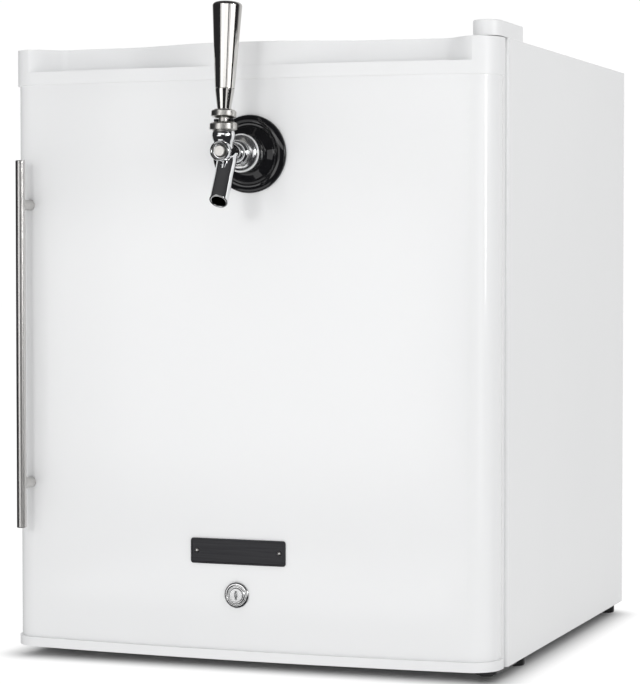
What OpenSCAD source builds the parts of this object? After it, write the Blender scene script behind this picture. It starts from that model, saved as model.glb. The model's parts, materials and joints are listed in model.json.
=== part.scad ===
// Compact refrigerator with a drinks tap through its door.
// +Z is up and the door faces -Y. The origin is at the bottom centre of the whole object.

/* [Cabinet] */
// Width over the side panels
cab_w = 470; // [440:1:520]
// Height of the cabinet above its feet
cab_h = 558; // [520:1:640]
// Depth of the cabinet behind its front face
cab_d = 448; // [430:1:500]
// Thickness of the sheet steel
sheet_t = 1; // [0.8:0.1:1.4]
// Width of the folded flanges of the sheet panels
flange_w = 12; // [9:0.5:13]
// Outer radius of the front fold of a side panel
fold_r = 4; // [2:0.5:6]
// Thickness of an insulated side wall
side_wall = 38; // [34:1:45]
// Thickness of the insulated top
top_wall = 42; // [36:1:50]
// Thickness of the insulated floor
floor_wall = 32; // [31:0.5:34]
// Thickness of the insulated back
back_wall = 45; // [38:1:55]
// Thickness of the moulded liners
liner_t = 2; // [1.5:0.1:3]
// Corner radius of the cavity
liner_r = 15; // [8:1:20]

/* [Machine bay] */
// Depth of the bay
bay_d = 150; // [140:1:165]
// Height of the bay
bay_h = 160; // [150:1:180]
// Thickness of the insulated wall round the bay
bay_wall = 35; // [30:1:40]
// Thickness of the bay's floor plate
bay_plate_t = 2; // [1.5:0.1:3]
// Radius of the compressor's pot
pot_r = 52; // [45:1:58]
// Height of the compressor's pot
pot_h = 104; // [90:1:110]
// Place of the compressor from the middle
pot_x = 75; // [60:1:90]
// Height of the rubber mounts
mount_h = 12; // [9:0.5:15]
// Radius of the rubber mounts
mount_r = 9; // [7:0.5:11]
// Spacing of the rubber mounts across the cabinet
mount_span_x = 128; // [122:1:140]
// Spacing of the rubber mounts from front to back
mount_span_y = 76; // [70:1:84]
// Width of the starter box
starter_w = 52; // [44:1:60]
// Height of the starter box
starter_h = 60; // [50:1:70]
// Depth of the starter box beside the pot
starter_d = 32; // [26:1:36]
// Height of the starter box above the pot's foot
starter_z = 22; // [16:1:30]

/* [Condenser] */
// Radius of the condenser tube
coil_r = 2.4; // [2:0.1:3]
// Distance of the tube's middle behind the back panel
coil_gap = 12; // [9:0.5:16]
// Width of the condenser between its bends
coil_w = 330; // [280:5:360]
// Spacing of the tube's runs
coil_pitch = 40; // [34:1:42]
// Number of the tube's runs
coil_runs = 8; // [6:2:8]
// Height of the lowest run above the bay
coil_rise = 40; // [30:1:50]
// Radius of the condenser's wires
wire_r = 0.8; // [0.6:0.1:1]
// Number of wires
wire_count = 22; // [14:2:30]
// Radius of the filter drier
drier_r = 7; // [5:0.5:9]
// Length of the filter drier's straight body
drier_l = 36; // [30:1:44]
// Length of the filter drier's cones
drier_cone = 8; // [6:0.5:10]
// Length of the tubes at the filter drier's ends
drier_stub = 12; // [9:0.5:14]

/* [Feet] */
// Height of the feet
foot_h = 10; // [9:0.5:14]
// Radius of the feet
foot_r = 9; // [8:0.5:12]
// Distance of the feet in from the sides
foot_inset = 13; // [12:1:40]
// Distance of the front feet behind the cabinet's front
front_foot_y = 72; // [60:1:90]
// Distance of the rear feet ahead of the cabinet's back
rear_foot_y = 22; // [14:1:60]
// Radius of the front feet's threaded studs
stud_r = 4; // [3:0.5:5]
// Length of the studs above the cabinet's underside
stud_l = 15; // [12:1:18]

/* [Door] */
// How far the door's skin stands in from the cabinet's sides
door_side = 2; // [1.5:0.5:4]
// Thickness of the door at its side edges
door_edge_t = 30; // [28:1:36]
// How far the middle of the door's front stands forward of its edges
door_bow = 11; // [8:1:16]
// Radius of the door's vertical front edges
corner_r = 24; // [20:1:26]
// Gap between the door and the cabinet, which the seal fills
door_gap = 12; // [11:0.5:15]
// Clearance above and below the door
door_clear = 0.8; // [0.6:0.1:1.5]
// How far the caps stand out from the skin
cap_over = 2; // [1:0.5:2]
// Wall thickness of the caps
cap_wall = 2.5; // [2:0.1:3]
// Height of the top cap
top_cap_h = 33; // [30:1:40]
// Height of the top cap's plain lower band
band_h = 12; // [8:1:15]
// Height of the bottom cap
low_cap_h = 9; // [7:0.5:12]
// Depth of the scoops in the top cap
scoop_d = 22; // [14:1:23]
// Distance of the scoops' ends in from the door's side edges
scoop_in = 16; // [15:1:30]
// Half width of the crest between the scoops
crest_w = 20; // [10:1:40]
// Length of the slope from the crest to a scoop's full depth
slope_w = 100; // [70:1:120]
// Length over which a scoop closes at its outer end
scoop_close = 34; // [26:1:44]
// How far the door's inner panel reaches into the cavity
panel_in = 6; // [4:0.5:8]
// Gap between the door's inner panel and the cavity's walls
panel_gap = 6; // [5:0.5:9]
// Distance of the seal in from the cabinet's outline
seal_inset = 13; // [13:0.5:14]
// Width of the seal
seal_w = 16; // [14:0.5:17]
// Gap left between the closed seal and the cabinet
seal_gap = 0.3; // [0.3:0.1:0.6]

/* [Hinges] */
// Distance of the hinge axis in from the cabinet's side
hinge_inset = 13; // [12:0.5:14]
// Distance of the hinge axis ahead of the cabinet's front
hinge_reach = 22; // [21:0.5:25]
// Thickness of the hinge brackets
hinge_t = 3; // [2:0.5:4]
// Half width of the hinge brackets
hinge_r = 10; // [9:0.5:10.5]
// Length of the hinge brackets behind the cabinet's front
hinge_l = 42; // [38:1:50]
// Radius of the hinge pins
pin_r = 4; // [3:0.5:4.5]
// Length of the hinge pins inside the door
pin_l = 12; // [9:0.5:12.5]
// Outer radius of the hinge bushes
bush_r = 6.5; // [6:0.5:7]
// Length of the hinge bushes
bush_l = 14; // [13:0.5:16]
// Height of the hinge cover
cover_h = 14; // [12:0.5:18]
// Length of the hinge cover behind the cabinet's front
cover_l = 47; // [46:1:60]
// Wall thickness of the hinge cover
cover_t = 1.6; // [1:0.1:2]

/* [Door handle] */
// Distance of the bar in from the door's side edge
bar_in = 19; // [17:1:43]
// Height of the bar's middle above the door's middle
bar_rise = 5; // [-40:1:30]
// Length of the bar
bar_l = 340; // [280:5:400]
// Radius of the bar
bar_r = 4.5; // [3.5:0.5:6]
// Distance from the door to the bar's middle
bar_out = 20; // [16:0.5:30]
// Spacing of the posts
post_span = 258; // [200:2:270]
// Radius of the posts
post_r = 5; // [4:0.5:6]
// Length of a handle screw inside its post
screw_grip = 9; // [7:0.5:11]

/* [Nameplate] */
// Place of the plate from the middle
plate_x = -2; // [-10:1:10]
// Height of the plate's middle above the cabinet's underside
plate_rise = 99; // [94:1:120]
// Width of the plate
plate_w = 92; // [70:1:120]
// Height of the plate
plate_h = 23; // [16:1:30]
// Thickness of the plate
plate_t = 1.2; // [0.8:0.1:2]
// Distance of the rivets in from the plate's ends
rivet_in = 6; // [4:0.5:8]
// Radius of the rivets' heads
rivet_r = 2; // [1.5:0.1:2.5]

/* [Lock] */
// Place of the lock from the middle
lock_x = -3; // [-10:1:10]
// Height of the lock's axis above the cabinet's underside
lock_rise = 60; // [58:0.5:64]
// Radius of the lock's bezel
bezel_r = 12; // [11:0.5:14]
// Radius of the lock's barrel
barrel_r = 9; // [8:0.5:9.5]
// Radius of the lock's plug
plug_r = 6; // [5:0.5:6.5]
// Length of the cam from the lock's axis
cam_l = 22; // [20:0.5:23]
// Width of the cam
cam_w = 12; // [10:0.5:13]
// Thickness of the cam
cam_t = 2.5; // [2:0.1:3]
// Height of the strike's upright lip
strike_h = 12; // [9:0.5:13]

/* [Tap] */
// Place of the tap from the middle
tap_x = 10; // [-20:1:20]
// Distance of the tap's axis below the cabinet's top
tap_drop = 101; // [88:1:118]
// Radius of the flange on the door
flange_r = 35; // [28:1:40]
// Height of the flange's middle
flange_h = 9; // [7:0.5:11]
// Outer radius of the shank
shank_r = 11; // [10:0.5:12]
// Radius of the shank's bore
shank_bore = 4; // [3:0.5:5]
// Length of the shank inside the cabinet
shank_in = 30; // [28:1:36]
// Radius of the hose tailpiece
tail_r = 4.76; // [4:0.01:6]
// Length of the hose tailpiece
tail_l = 32; // [26:1:40]
// Outer radius of the coupling nut
nut_r = 17.5; // [16.5:0.5:20]
// Length of the coupling nut
nut_l = 18; // [17:0.5:21]
// Outer radius of the faucet's barrel
faucet_r = 9; // [8.5:0.5:10]
// Distance from the door to the lever's axis
lever_u = 62; // [60:0.5:66]
// Length of the barrel ahead of the lever's axis
nose_l = 10; // [9:0.5:13]
// Height of the lever's ball above the barrel's axis
pivot_h = 19; // [19:0.5:21]
// Distance from the door to the spout's start
spout_u = 50; // [48:0.5:52]
// Length of the spout from the barrel's axis
spout_l = 50; // [40:1:60]
// Lean of the spout from upright, in degrees
spout_lean = 28; // [20:1:32]
// Outer radius of the spout
spout_r = 8; // [7:0.5:8.5]
// Radius of the spout's bore
spout_bore = 6; // [4.5:0.5:6.5]
// Radius of the plunger
plunger_r = 5; // [4.5:0.1:5.2]
// Lean of the closed handle away from the drinker, in degrees
handle_lean = 5; // [3:0.5:6]
// Full tilt of the handle, in degrees
handle_tilt = 32; // [24:1:32]
// Length of the handle
handle_l = 94; // [70:1:110]
// Radius of the handle's foot
handle_foot_r = 6; // [5.5:0.5:8]
// Radius of the handle's top
handle_top_r = 13; // [10:0.5:16]

/* [Inside] */
// Width of the evaporator plate
evap_w = 300; // [240:5:330]
// Height of the evaporator plate
evap_h = 200; // [160:5:220]
// Width of the thermostat housing
thermo_w = 70; // [60:1:90]
// Height of the thermostat housing
thermo_h = 44; // [40:1:50]
// Depth of the thermostat housing
thermo_d = 90; // [70:1:110]
// Place of the thermostat from the middle
thermo_x = 115; // [80:1:125]
// Distance of the thermostat's front behind the cabinet's front
thermo_y = 120; // [115:1:140]
// Radius of the thermostat's knob
knob_r = 16; // [12:0.5:18]
// Thickness of the thermostat's knob
knob_t = 13; // [10:0.5:18]

/* [Fits] */
// Clearance of a piece that is fixed in another
fit = 0.1; // [0.05:0.01:0.15]
// Radial clearance of a piece that turns or slides in another
run = 0.07; // [0.05:0.01:0.09]
// Clearance between pieces that pass each other
pass = 0.4; // [0.3:0.05:0.5]

/* [Hidden] */
$fn = 72;
eps = 0.5;
white = "white";
steel = "silver";
dark = "dimgray";
black = "#222222";

// How far the object reaches ahead of and behind the cabinet's front face
door_front = door_gap + door_edge_t + door_bow;
tap_y = -door_front - fit / 2;
front_reach = spout_u - tap_y + spout_l * sin(spout_lean) + spout_r * cos(spout_lean);
rear_reach = cab_d + coil_gap + max(coil_r + 2 * wire_r + fit, drier_r);
cab_y = (front_reach - rear_reach) / 2;
// Places and sizes that follow the cabinet
bottom_z = foot_h;
top_z = foot_h + cab_h;
half_w = cab_w / 2;
door_w = cab_w - 2 * door_side;
scoop_end = door_w / 2 - scoop_in;
bar_x = bar_in - door_w / 2;
bar_z = (bottom_z + top_z) / 2 + bar_rise;
plate_z = bottom_z + plate_rise;
lock_z = bottom_z + lock_rise;
tap_z = top_z - tap_drop;

// Cabinet
cav_x = half_w - side_wall;
cav_z0 = bottom_z + floor_wall;
cav_z1 = top_z - top_wall;
cav_y = cab_d - back_wall;
bay_y = cab_d - bay_d;
bay_z = bottom_z + bay_h;
hump_y = bay_y - bay_wall;
hump_z = bay_z + bay_wall;
skin_back = cab_d - sheet_t;
flange_back = cab_d - 2 * sheet_t;
inner_w = half_w - sheet_t - fit;
front_w = half_w - flange_w - fit;
back_screw_r = 2;
back_head_r = 3.5;
back_head_h = 2;
back_screw_in = 20;
strike_left = 15;
strike_right = 30;
strike_d = 26;
strike_set = liner_t / 2;
strike_screw_r = 1.6;
strike_screw_l = 12;
strike_head_r = 3.2;
strike_head_h = 1.2;
evap_t = 1.6;
evap_drop = 30;
channel_w = 8;
channel_t = 4;
channel_in = 20;
knob_shaft_r = 3;
knob_shaft_l = 14;
socket_r = stud_r + 3;
socket_h = stud_l + 3;
rear_stud_r = 3;

// Machine bay
pot_y = bay_y + bay_d / 2;
plate_top = bottom_z + bay_plate_t;
base_z = plate_top + mount_h;
base_t = 3;
pot_z = base_z + base_t;
pot_top = pot_z + pot_h;
pipe_r = 3;
dome_r = 30;
coil_y = cab_d + coil_gap;
coil_z = bay_z + coil_rise;
coil_top = coil_z + (coil_runs - 1) * coil_pitch;
bend_r = coil_pitch / 2;
riser_x = coil_w / 2 + bend_r + 4 * coil_r;
suction_dx = -30;
discharge_dx = 30;
discharge_rise = 18;
suction_top = bay_z + bay_wall / 3;
weld_t = 2;
weld_h = 5;
mount_pin_r = 4;
capillary_r = 1.5;
clip_x = coil_w * 0.42;
clip_w = 10;
clip_h = 14;
gland_w = 40;
gland_h = 30;
gland_d = 30;
gland_r = 8;
gland_bore = 4;
gland_z = plate_top + gland_h / 2;

// Door
door_z0 = bottom_z + door_clear;
door_z1 = top_z - door_clear;
skin_z0 = door_z0 + low_cap_h;
skin_z1 = door_z1 - top_cap_h;
door_back = -door_gap;
bow_r = (pow(door_w / 2, 2) + pow(door_bow, 2)) / (2 * door_bow);
bow_y = bow_r - door_front;
corner_x = door_w / 2 - corner_r;
corner_y = bow_y - sqrt(pow(bow_r - corner_r, 2) - pow(corner_x, 2));
corner_a = asin(corner_x / (bow_r - corner_r));
tangent_x = bow_r * sin(corner_a);
panel_back = door_back + liner_t;
panel_x = cav_x - panel_gap;
panel_z0 = cav_z0 + panel_gap;
panel_z1 = cav_z1 - panel_gap;
hinge_x = half_w - hinge_inset;
boss_r = bush_r + 1.8;
boss_l = bush_l + 2;
pin_head_r = pin_r + 2;
pin_head_h = 1.5;
hinge_screw_r = 2.5;
hinge_head_r = 4.5;
hinge_head_h = 2.5;
hinge_screw_l = hinge_t + sheet_t + 6;
hinge_screw_y = [hinge_l * 0.3, hinge_l * 0.72];

// Door handle
bar_door_y = skin_y(bar_x);
bar_y = bar_door_y - bar_out;
handle_screw_r = 2;
handle_head_r = 4;
handle_head_h = 2.5;
handle_head_y = skin_y(abs(bar_x) + handle_head_r) + sheet_t + 2 * fit;
handle_screw_l = handle_head_y - bar_door_y + screw_grip;
bar_chamfer = 0.8;
rivet_stem_r = rivet_r * 0.6;
rivet_head_h = 0.8;
rivet_grip = sheet_t + 2;

// Lock
lock_y = -door_front - fit / 2;
bezel_t = 2.5;
lock_nut_t = 4;
barrel_end = panel_in + lock_nut_t + 1.5;
cam_y = barrel_end + pass;
tail_w = 8;
strike_t = 2;
strike_y = panel_in + 3;

// Tap: distances u run forward from the door's face
nut_u = flange_h + 1;
shank_u = nut_u + 7;
washer_t = 1.6;
faucet_u = shank_u + washer_t + 2 * fit;
seat_u = faucet_u + 15;
seat_t = 4;
nose_u = lever_u + nose_l;
shank_nut_t = 8;
tail_y = panel_in + shank_in;
tail_bore = 3;
tail_flange_t = 3;
tail_neck_r = tail_r + 1.2;
tail_nut_back = 10;
tail_nut_front = 8;
ball_r = 5.5;
neck_r = 10.5;
neck_h = pivot_h - 1;
finger_l = 16;
finger_r = 1.8;
tip_r = 2.4;
stem_r = 3.5;
bonnet_r = 12;
bonnet_side = pivot_h + 3;
bonnet_top = pivot_h + 7;
ferrule_z = 10.5;
ferrule_h = 6.5;
ferrule_r = 11;
handle_z = ferrule_z + ferrule_h;
tip_rest = finger_l * sin(handle_lean);
tip_full = finger_l * sin(handle_tilt - handle_lean);
seat_washer_t = 4;
seat_washer_r = 6.6;
stem_end_t = 2;

function smooth(t) = t <= 0 ? 0 : t >= 1 ? 1 : (1 - cos(180 * t)) / 2;
function arc(cx, cy, r, a0, a1, n) =
    [for (i = [0:n]) let (a = a0 + (a1 - a0) * i / n) [cx + r * cos(a), cy + r * sin(a)]];
function rounded(x0, z0, x1, z1, r, n = 8) = concat(
    arc(x1 - r, z0 + r, r, -90, 0, n), arc(x1 - r, z1 - r, r, 0, 90, n),
    arc(x0 + r, z1 - r, r, 90, 180, n), arc(x0 + r, z0 + r, r, 180, 270, n));
// Y of the door's front face at x
function skin_y(x) = abs(x) <= tangent_x
    ? bow_y - sqrt(pow(bow_r, 2) - pow(x, 2))
    : corner_y - sqrt(pow(corner_r, 2) - pow(abs(x) - corner_x, 2));
// Outline of the door seen from above, moved in by d
function door_plan(d, back) = concat(
    [[-door_w / 2 + d, back]],
    arc(-corner_x, corner_y, corner_r - d, 180, 270 - corner_a, 8),
    arc(0, bow_y, bow_r - d, 270 - corner_a * 11 / 12, 270 + corner_a * 11 / 12, 22),
    arc(corner_x, corner_y, corner_r - d, 270 + corner_a, 360, 8),
    [[door_w / 2 - d, back]]);
// Depth of the scoops behind the top cap's front at x
function scoop(x) =
    scoop_d * smooth((abs(x) - crest_w) / slope_w) * smooth((scoop_end - abs(x)) / scoop_close);
// Outline of the space ahead of the top cap's scooped face, moved back by d
function scoop_plan(d) = let (
    face_r = bow_r + cap_over,
    xs = [for (i = [-30:30]) scoop_end * sin(3 * i)])
    concat(
        [[-scoop_end - d, -door_front - corner_r]],
        [for (x = xs) [x * (scoop_end + d) / scoop_end, bow_y - sqrt(face_r * face_r - x * x) + scoop(x) + d]],
        [[scoop_end + d, -door_front - corner_r]]);

module along_y(y0, y1) {
    translate([0, y1, 0]) rotate([90, 0, 0]) linear_extrude(y1 - y0) children();
}
module along_x(x0, x1) {
    translate([x0, 0, 0]) rotate([90, 0, 90]) linear_extrude(x1 - x0) children();
}
module y_rod(r, y0, y1) {
    translate([0, y1, 0]) rotate([90, 0, 0]) cylinder(r = r, h = y1 - y0);
}
module box(x0, y0, z0, x1, y1, z1) {
    translate([x0, y0, z0]) cube([x1 - x0, y1 - y0, z1 - z0]);
}
module from_front() {
    translate([0, cab_y, 0]) children();
}
module at_tap() {
    translate([tap_x, cab_y + tap_y, tap_z]) children();
}
module at_lever() {
    at_tap() translate([0, -lever_u, pivot_h]) rotate([-handle_lean, 0, 0]) children();
}
// A rod of the tap from u0 to u1 ahead of the door
module u_rod(r, u0, u1) {
    y_rod(r, -u1, -u0);
}
module at_lock() {
    translate([lock_x, cab_y, lock_z]) children();
}

// Cabinet

module side_panel() {
    from_front() translate([0, 0, bottom_z]) linear_extrude(cab_h) polygon(concat(
        [[half_w, skin_back]],
        arc(half_w - fold_r, fold_r, fold_r, 0, -90, 6),
        [[half_w - flange_w, 0], [half_w - flange_w, sheet_t]],
        arc(half_w - fold_r, fold_r, fold_r - sheet_t, -90, 0, 6),
        [[half_w - sheet_t, flange_back], [half_w - flange_w, flange_back], [half_w - flange_w, skin_back]]));
}
module back_screw_places() {
    for (side = [-1, 1], z = [bay_z + back_screw_in, (bay_z + top_z) / 2, top_z - back_screw_in])
        translate([side * (half_w - flange_w * 0.6), 0, z]) children();
}
module right_side_panel() {
    color(white) difference() {
        side_panel();
        from_front() back_screw_places() y_rod(back_screw_r + fit, flange_back - eps, cab_d);
    }
}
module left_side_panel() {
    color(white) mirror([1, 0, 0]) right_side_panel();
}
module top_panel() {
    color(white) from_front() difference() {
        union() {
            translate([0, 0, top_z - sheet_t]) linear_extrude(sheet_t) polygon(concat(
                arc(half_w - fold_r, fold_r, fold_r - sheet_t - fit, -90, 0, 6),
                [[inner_w, flange_back - fit], [-inner_w, flange_back - fit]],
                arc(-half_w + fold_r, fold_r, fold_r - sheet_t - fit, 180, 270, 6)));
            box(-front_w, 0, top_z - flange_w, front_w, sheet_t, top_z);
            box(-front_w, 0, top_z - sheet_t, front_w, fold_r, top_z);
            box(-front_w, flange_back, top_z - flange_w, front_w, skin_back, top_z);
            box(-front_w, flange_back - 2 * eps, top_z - sheet_t, front_w, skin_back, top_z);
        }
        hinge_screw_holes();
    }
}
module back_panel() {
    color("gainsboro") from_front() difference() {
        box(-half_w + sheet_t, skin_back, bay_z, half_w - sheet_t, cab_d, top_z - sheet_t);
        back_screw_places() y_rod(back_screw_r + fit, skin_back - eps, cab_d + eps);
    }
}
module back_panel_screws() {
    color(steel) from_front() back_screw_places() {
        y_rod(back_head_r, cab_d, cab_d + back_head_h);
        y_rod(back_screw_r, flange_back, cab_d + back_head_h / 2);
    }
}
module base_pan() {
    color("gainsboro") from_front() difference() {
        union() {
            along_x(-inner_w, inner_w) polygon([
                [fold_r, bottom_z], [bay_y, bottom_z], [bay_y, bay_z], [flange_back - fit, bay_z],
                [flange_back - fit, bay_z + sheet_t], [bay_y - sheet_t, bay_z + sheet_t],
                [bay_y - sheet_t, bottom_z + sheet_t], [fold_r, bottom_z + sheet_t]]);
            along_x(-front_w, front_w) polygon([
                [0, bottom_z], [fold_r + eps, bottom_z], [fold_r + eps, bottom_z + sheet_t],
                [sheet_t, bottom_z + sheet_t], [sheet_t, bottom_z + flange_w], [0, bottom_z + flange_w]]);
        }
        hinge_screw_holes();
        foot_places() translate([0, 0, bottom_z - eps]) cylinder(r = socket_r + fit, h = sheet_t + 2 * eps);
        translate([pot_x + suction_dx, pot_y, bay_z - eps]) cylinder(r = pipe_r + fit, h = sheet_t + 2 * eps);
    }
}
// Inside of the cavity, moved out by d
module cavity(d, front) {
    difference() {
        along_y(front, cav_y + d) polygon(rounded(-cav_x - d, cav_z0 - d, cav_x + d, cav_z1 + d, liner_r + d));
        box(-half_w, hump_y + d, 0, half_w, cab_d, hump_z - d);
    }
}
module inner_liner() {
    color(white) from_front() difference() {
        union() {
            cavity(liner_t, 0);
            along_y(0, liner_t) polygon([
                [-front_w, bottom_z + flange_w + fit], [front_w, bottom_z + flange_w + fit],
                [front_w, top_z - flange_w - fit], [-front_w, top_z - flange_w - fit]]);
        }
        cavity(0, -eps);
        translate([lock_x, strike_y, cav_z0 - strike_set])
            box(-strike_left - fit, -fit, 0, strike_right + fit, strike_d + fit, liner_t);
        strike_screw_holes();
    }
}
module cabinet_insulation() {
    color("khaki") from_front() difference() {
        box(-inner_w, fold_r + fit, bottom_z + sheet_t + fit, inner_w, flange_back - fit,
            top_z - sheet_t - fit);
        box(-half_w, bay_y - sheet_t - fit, 0, half_w, cab_d, bay_z + sheet_t + fit);
        cavity(liner_t + fit, 0);
        strike_screw_holes();
        hinge_screw_holes();
        foot_places() translate([0, 0, bottom_z]) cylinder(r = socket_r + fit, h = socket_h + fit);
        translate([pot_x + suction_dx, pot_y, bay_z]) cylinder(r = pipe_r + fit, h = bay_wall / 2);
    }
}
module strike_screw_places() {
    for (x = [-strike_left * 0.4, strike_right * 0.7])
        translate([lock_x + x, strike_y + strike_d * 0.6, cav_z0 - strike_set + strike_t + fit]) children();
}
module strike_screw_holes() {
    strike_screw_places() translate([0, 0, -strike_screw_l - fit])
        cylinder(r = strike_screw_r + fit, h = strike_screw_l + 1);
}
// A strike that is set in the cavity's floor, and its two screws
module lock_strike() {
    color(steel) from_front() {
        difference() {
            translate([lock_x, strike_y, cav_z0 - strike_set + fit]) union() {
                box(-strike_left, 0, 0, strike_right, strike_d, strike_t);
                box(-strike_left, 0, 0, strike_right, strike_t, strike_h);
            }
            strike_screw_holes();
        }
        strike_screw_places() {
            translate([0, 0, fit]) cylinder(r = strike_head_r, h = strike_head_h);
            translate([0, 0, -strike_screw_l]) cylinder(r = strike_screw_r, h = strike_screw_l + strike_head_h);
        }
    }
}
module evaporator_plate() {
    ribs = 6;
    rib_z = evap_h / (ribs + 1);
    z0 = cav_z1 - evap_drop - evap_h;
    run_x = evap_w / 2 - channel_in;
    back = cav_y - fit;
    color(steel) from_front() union() {
        box(-evap_w / 2, back - evap_t, z0, evap_w / 2, back, z0 + evap_h);
        for (i = [1:ribs])
            box(-run_x, back - channel_t, z0 + i * rib_z - channel_w / 2, run_x, back - evap_t / 2,
                z0 + i * rib_z + channel_w / 2);
        for (i = [1:ribs - 1])
            let (x = (i % 2 == 0 ? -1 : 1) * (run_x - channel_w / 2))
                box(x - channel_w / 2, back - channel_t, z0 + i * rib_z, x + channel_w / 2, back - evap_t / 2,
                    z0 + (i + 1) * rib_z);
    }
}
module thermostat_housing() {
    color(white) from_front() difference() {
        box(thermo_x - thermo_w / 2, thermo_y, cav_z1 - fit - thermo_h, thermo_x + thermo_w / 2,
            thermo_y + thermo_d, cav_z1 - fit);
        translate([thermo_x, 0, cav_z1 - thermo_h / 2]) y_rod(knob_shaft_r + run, thermo_y - eps,
            thermo_y + knob_shaft_l + 1);
    }
}
module thermostat_knob() {
    back = thermo_y - pass;
    color(white) from_front() translate([thermo_x, 0, cav_z1 - thermo_h / 2]) difference() {
        union() {
            y_rod(knob_r, back - knob_t * 0.4, back);
            y_rod(knob_r * 0.75, back - knob_t, back);
            y_rod(knob_shaft_r, back - eps, back + knob_shaft_l);
        }
        box(-1, back - knob_t - eps, knob_r * 0.3, 1, back - knob_t + 1, knob_r);
    }
}

// Machine bay and condenser

module bay_floor_plate() {
    color(steel) from_front() difference() {
        box(-inner_w, bay_y + fit, bottom_z, inner_w, flange_back - fit, plate_top);
        rear_foot_places() translate([0, 0, bottom_z - eps])
            cylinder(r = rear_stud_r + fit, h = bay_plate_t + 2 * eps);
    }
}
module mount_places() {
    for (x = [-1, 1], y = [-1, 1])
        translate([pot_x + x * mount_span_x / 2, pot_y + y * mount_span_y / 2, 0]) children();
}
module compressor() {
    color(black) from_front() union() {
        difference() {
            box(pot_x - mount_span_x / 2 - mount_r, pot_y - mount_span_y / 2 - mount_r, base_z,
                pot_x + mount_span_x / 2 + mount_r, pot_y + mount_span_y / 2 + mount_r, pot_z);
            mount_places() translate([0, 0, base_z - eps])
                cylinder(r = mount_pin_r + fit, h = base_t + 2 * eps);
        }
        translate([pot_x, pot_y, pot_z]) rotate_extrude() polygon(concat(
            [[0, 0], [pot_r - 6, 0], [pot_r, 8]],
            arc(pot_r - dome_r, pot_h - dome_r, dome_r, 0, 90, 8), [[0, pot_h]]));
        translate([pot_x, pot_y, pot_z + pot_h * 0.55]) cylinder(r = pot_r + weld_t, h = weld_h);
    }
}
module compressor_mounts() {
    color(black) from_front() mount_places() translate([0, 0, plate_top]) {
        cylinder(r = mount_r, h = mount_h);
        cylinder(r = mount_pin_r, h = mount_h + 2 * base_t);
    }
}
module starter_box() {
    x0 = pot_x + pot_r + weld_t + fit;
    z0 = pot_z + starter_z;
    color(black) from_front() box(x0, pot_y - starter_w / 2, z0, x0 + starter_d, pot_y + starter_w / 2,
        z0 + starter_h);
}
module suction_pipe() {
    color("peru") from_front() translate([pot_x + suction_dx, pot_y, pot_dome(suction_dx) + fit])
        cylinder(r = pipe_r, h = suction_top - pot_dome(suction_dx) - fit);
}
// Height of the pot's dome at a distance from its axis
function pot_dome(x) = let (e = max(0, abs(x) - pipe_r - pot_r + dome_r))
    pot_top - dome_r + sqrt(dome_r * dome_r - e * e);
// A pipe that turns with a round joint at each point between the first and the last
module pipe(points, r) {
    for (i = [1:len(points) - 1])
        let (run_v = points[i] - points[i - 1], length = norm(run_v))
            translate(points[i - 1]) rotate([0, acos(run_v[2] / length), atan2(run_v[1], run_v[0])])
                cylinder(r = r, h = length);
    for (i = [1:len(points) - 2])
        translate(points[i]) sphere(r = r);
}
module discharge_pipe() {
    x = pot_x + discharge_dx;
    low_z = pot_top + discharge_rise;
    color("peru") from_front() pipe([
        [x, pot_y, pot_dome(discharge_dx) + fit], [x, pot_y, low_z], [riser_x, pot_y, low_z],
        [riser_x, coil_y, low_z], [riser_x, coil_y, coil_top], [coil_w / 2 + fit, coil_y, coil_top]], coil_r);
}
module filter_drier() {
    z1 = drier_stub + drier_cone;
    z2 = z1 + drier_l;
    z3 = z2 + drier_cone;
    length = z3 + drier_stub;
    color("peru") from_front() translate([coil_w / 2 - coil_r, coil_y, coil_z - coil_r - fit - length])
        rotate_extrude() polygon([[0, 0], [capillary_r, 0], [capillary_r, drier_stub], [drier_r, z1],
            [drier_r, z2], [coil_r, z3], [coil_r, length], [0, length]]);
}
module coil_bend(side, z) {
    translate([side * coil_w / 2, coil_y, z]) rotate([90, 0, 0]) rotate([0, 0, side > 0 ? -90 : 90])
        rotate_extrude(angle = 180) translate([bend_r, 0]) circle(r = coil_r, $fn = 24);
}
module condenser_tube() {
    color(black) from_front() union() {
        for (i = [0:coil_runs - 1])
            translate([-coil_w / 2, coil_y, coil_z + i * coil_pitch]) rotate([0, 90, 0])
                cylinder(r = coil_r, h = coil_w, $fn = 24);
        for (i = [0:coil_runs - 2])
            coil_bend(i % 2 == 0 ? -1 : 1, coil_z + (i + 0.5) * coil_pitch);
    }
}
module condenser_wires() {
    color(black) from_front() for (i = [0:wire_count - 1])
        translate([-coil_w / 2 + coil_w * (i + 0.5) / wire_count, coil_y + coil_r + wire_r + fit,
                coil_z - coil_pitch / 3])
            cylinder(r = wire_r, h = coil_top - coil_z + coil_pitch * 2 / 3, $fn = 16);
}
module condenser_clips() {
    color(black) from_front() for (x = [-1, 1], z = [coil_z + coil_pitch, coil_top - coil_pitch])
        difference() {
            box(x * clip_x - clip_w / 2, cab_d, z - clip_h / 2, x * clip_x + clip_w / 2, coil_y + coil_r,
                z + clip_h / 2);
            translate([x * clip_x - clip_w / 2 - eps, coil_y, z]) rotate([0, 90, 0])
                cylinder(r = coil_r + fit, h = clip_w + 2 * eps);
        }
}
module cable_gland() {
    x = -half_w / 2;
    color(black) from_front() difference() {
        union() {
            box(x - gland_w / 2, cab_d - gland_d, plate_top, x + gland_w / 2, flange_back - fit,
                plate_top + gland_h);
            translate([x, 0, gland_z]) y_rod(gland_r, flange_back - eps, cab_d + gland_r);
        }
        translate([x, 0, gland_z]) y_rod(gland_bore, flange_back - gland_r, cab_d + gland_r + eps);
    }
}

// Feet

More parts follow.
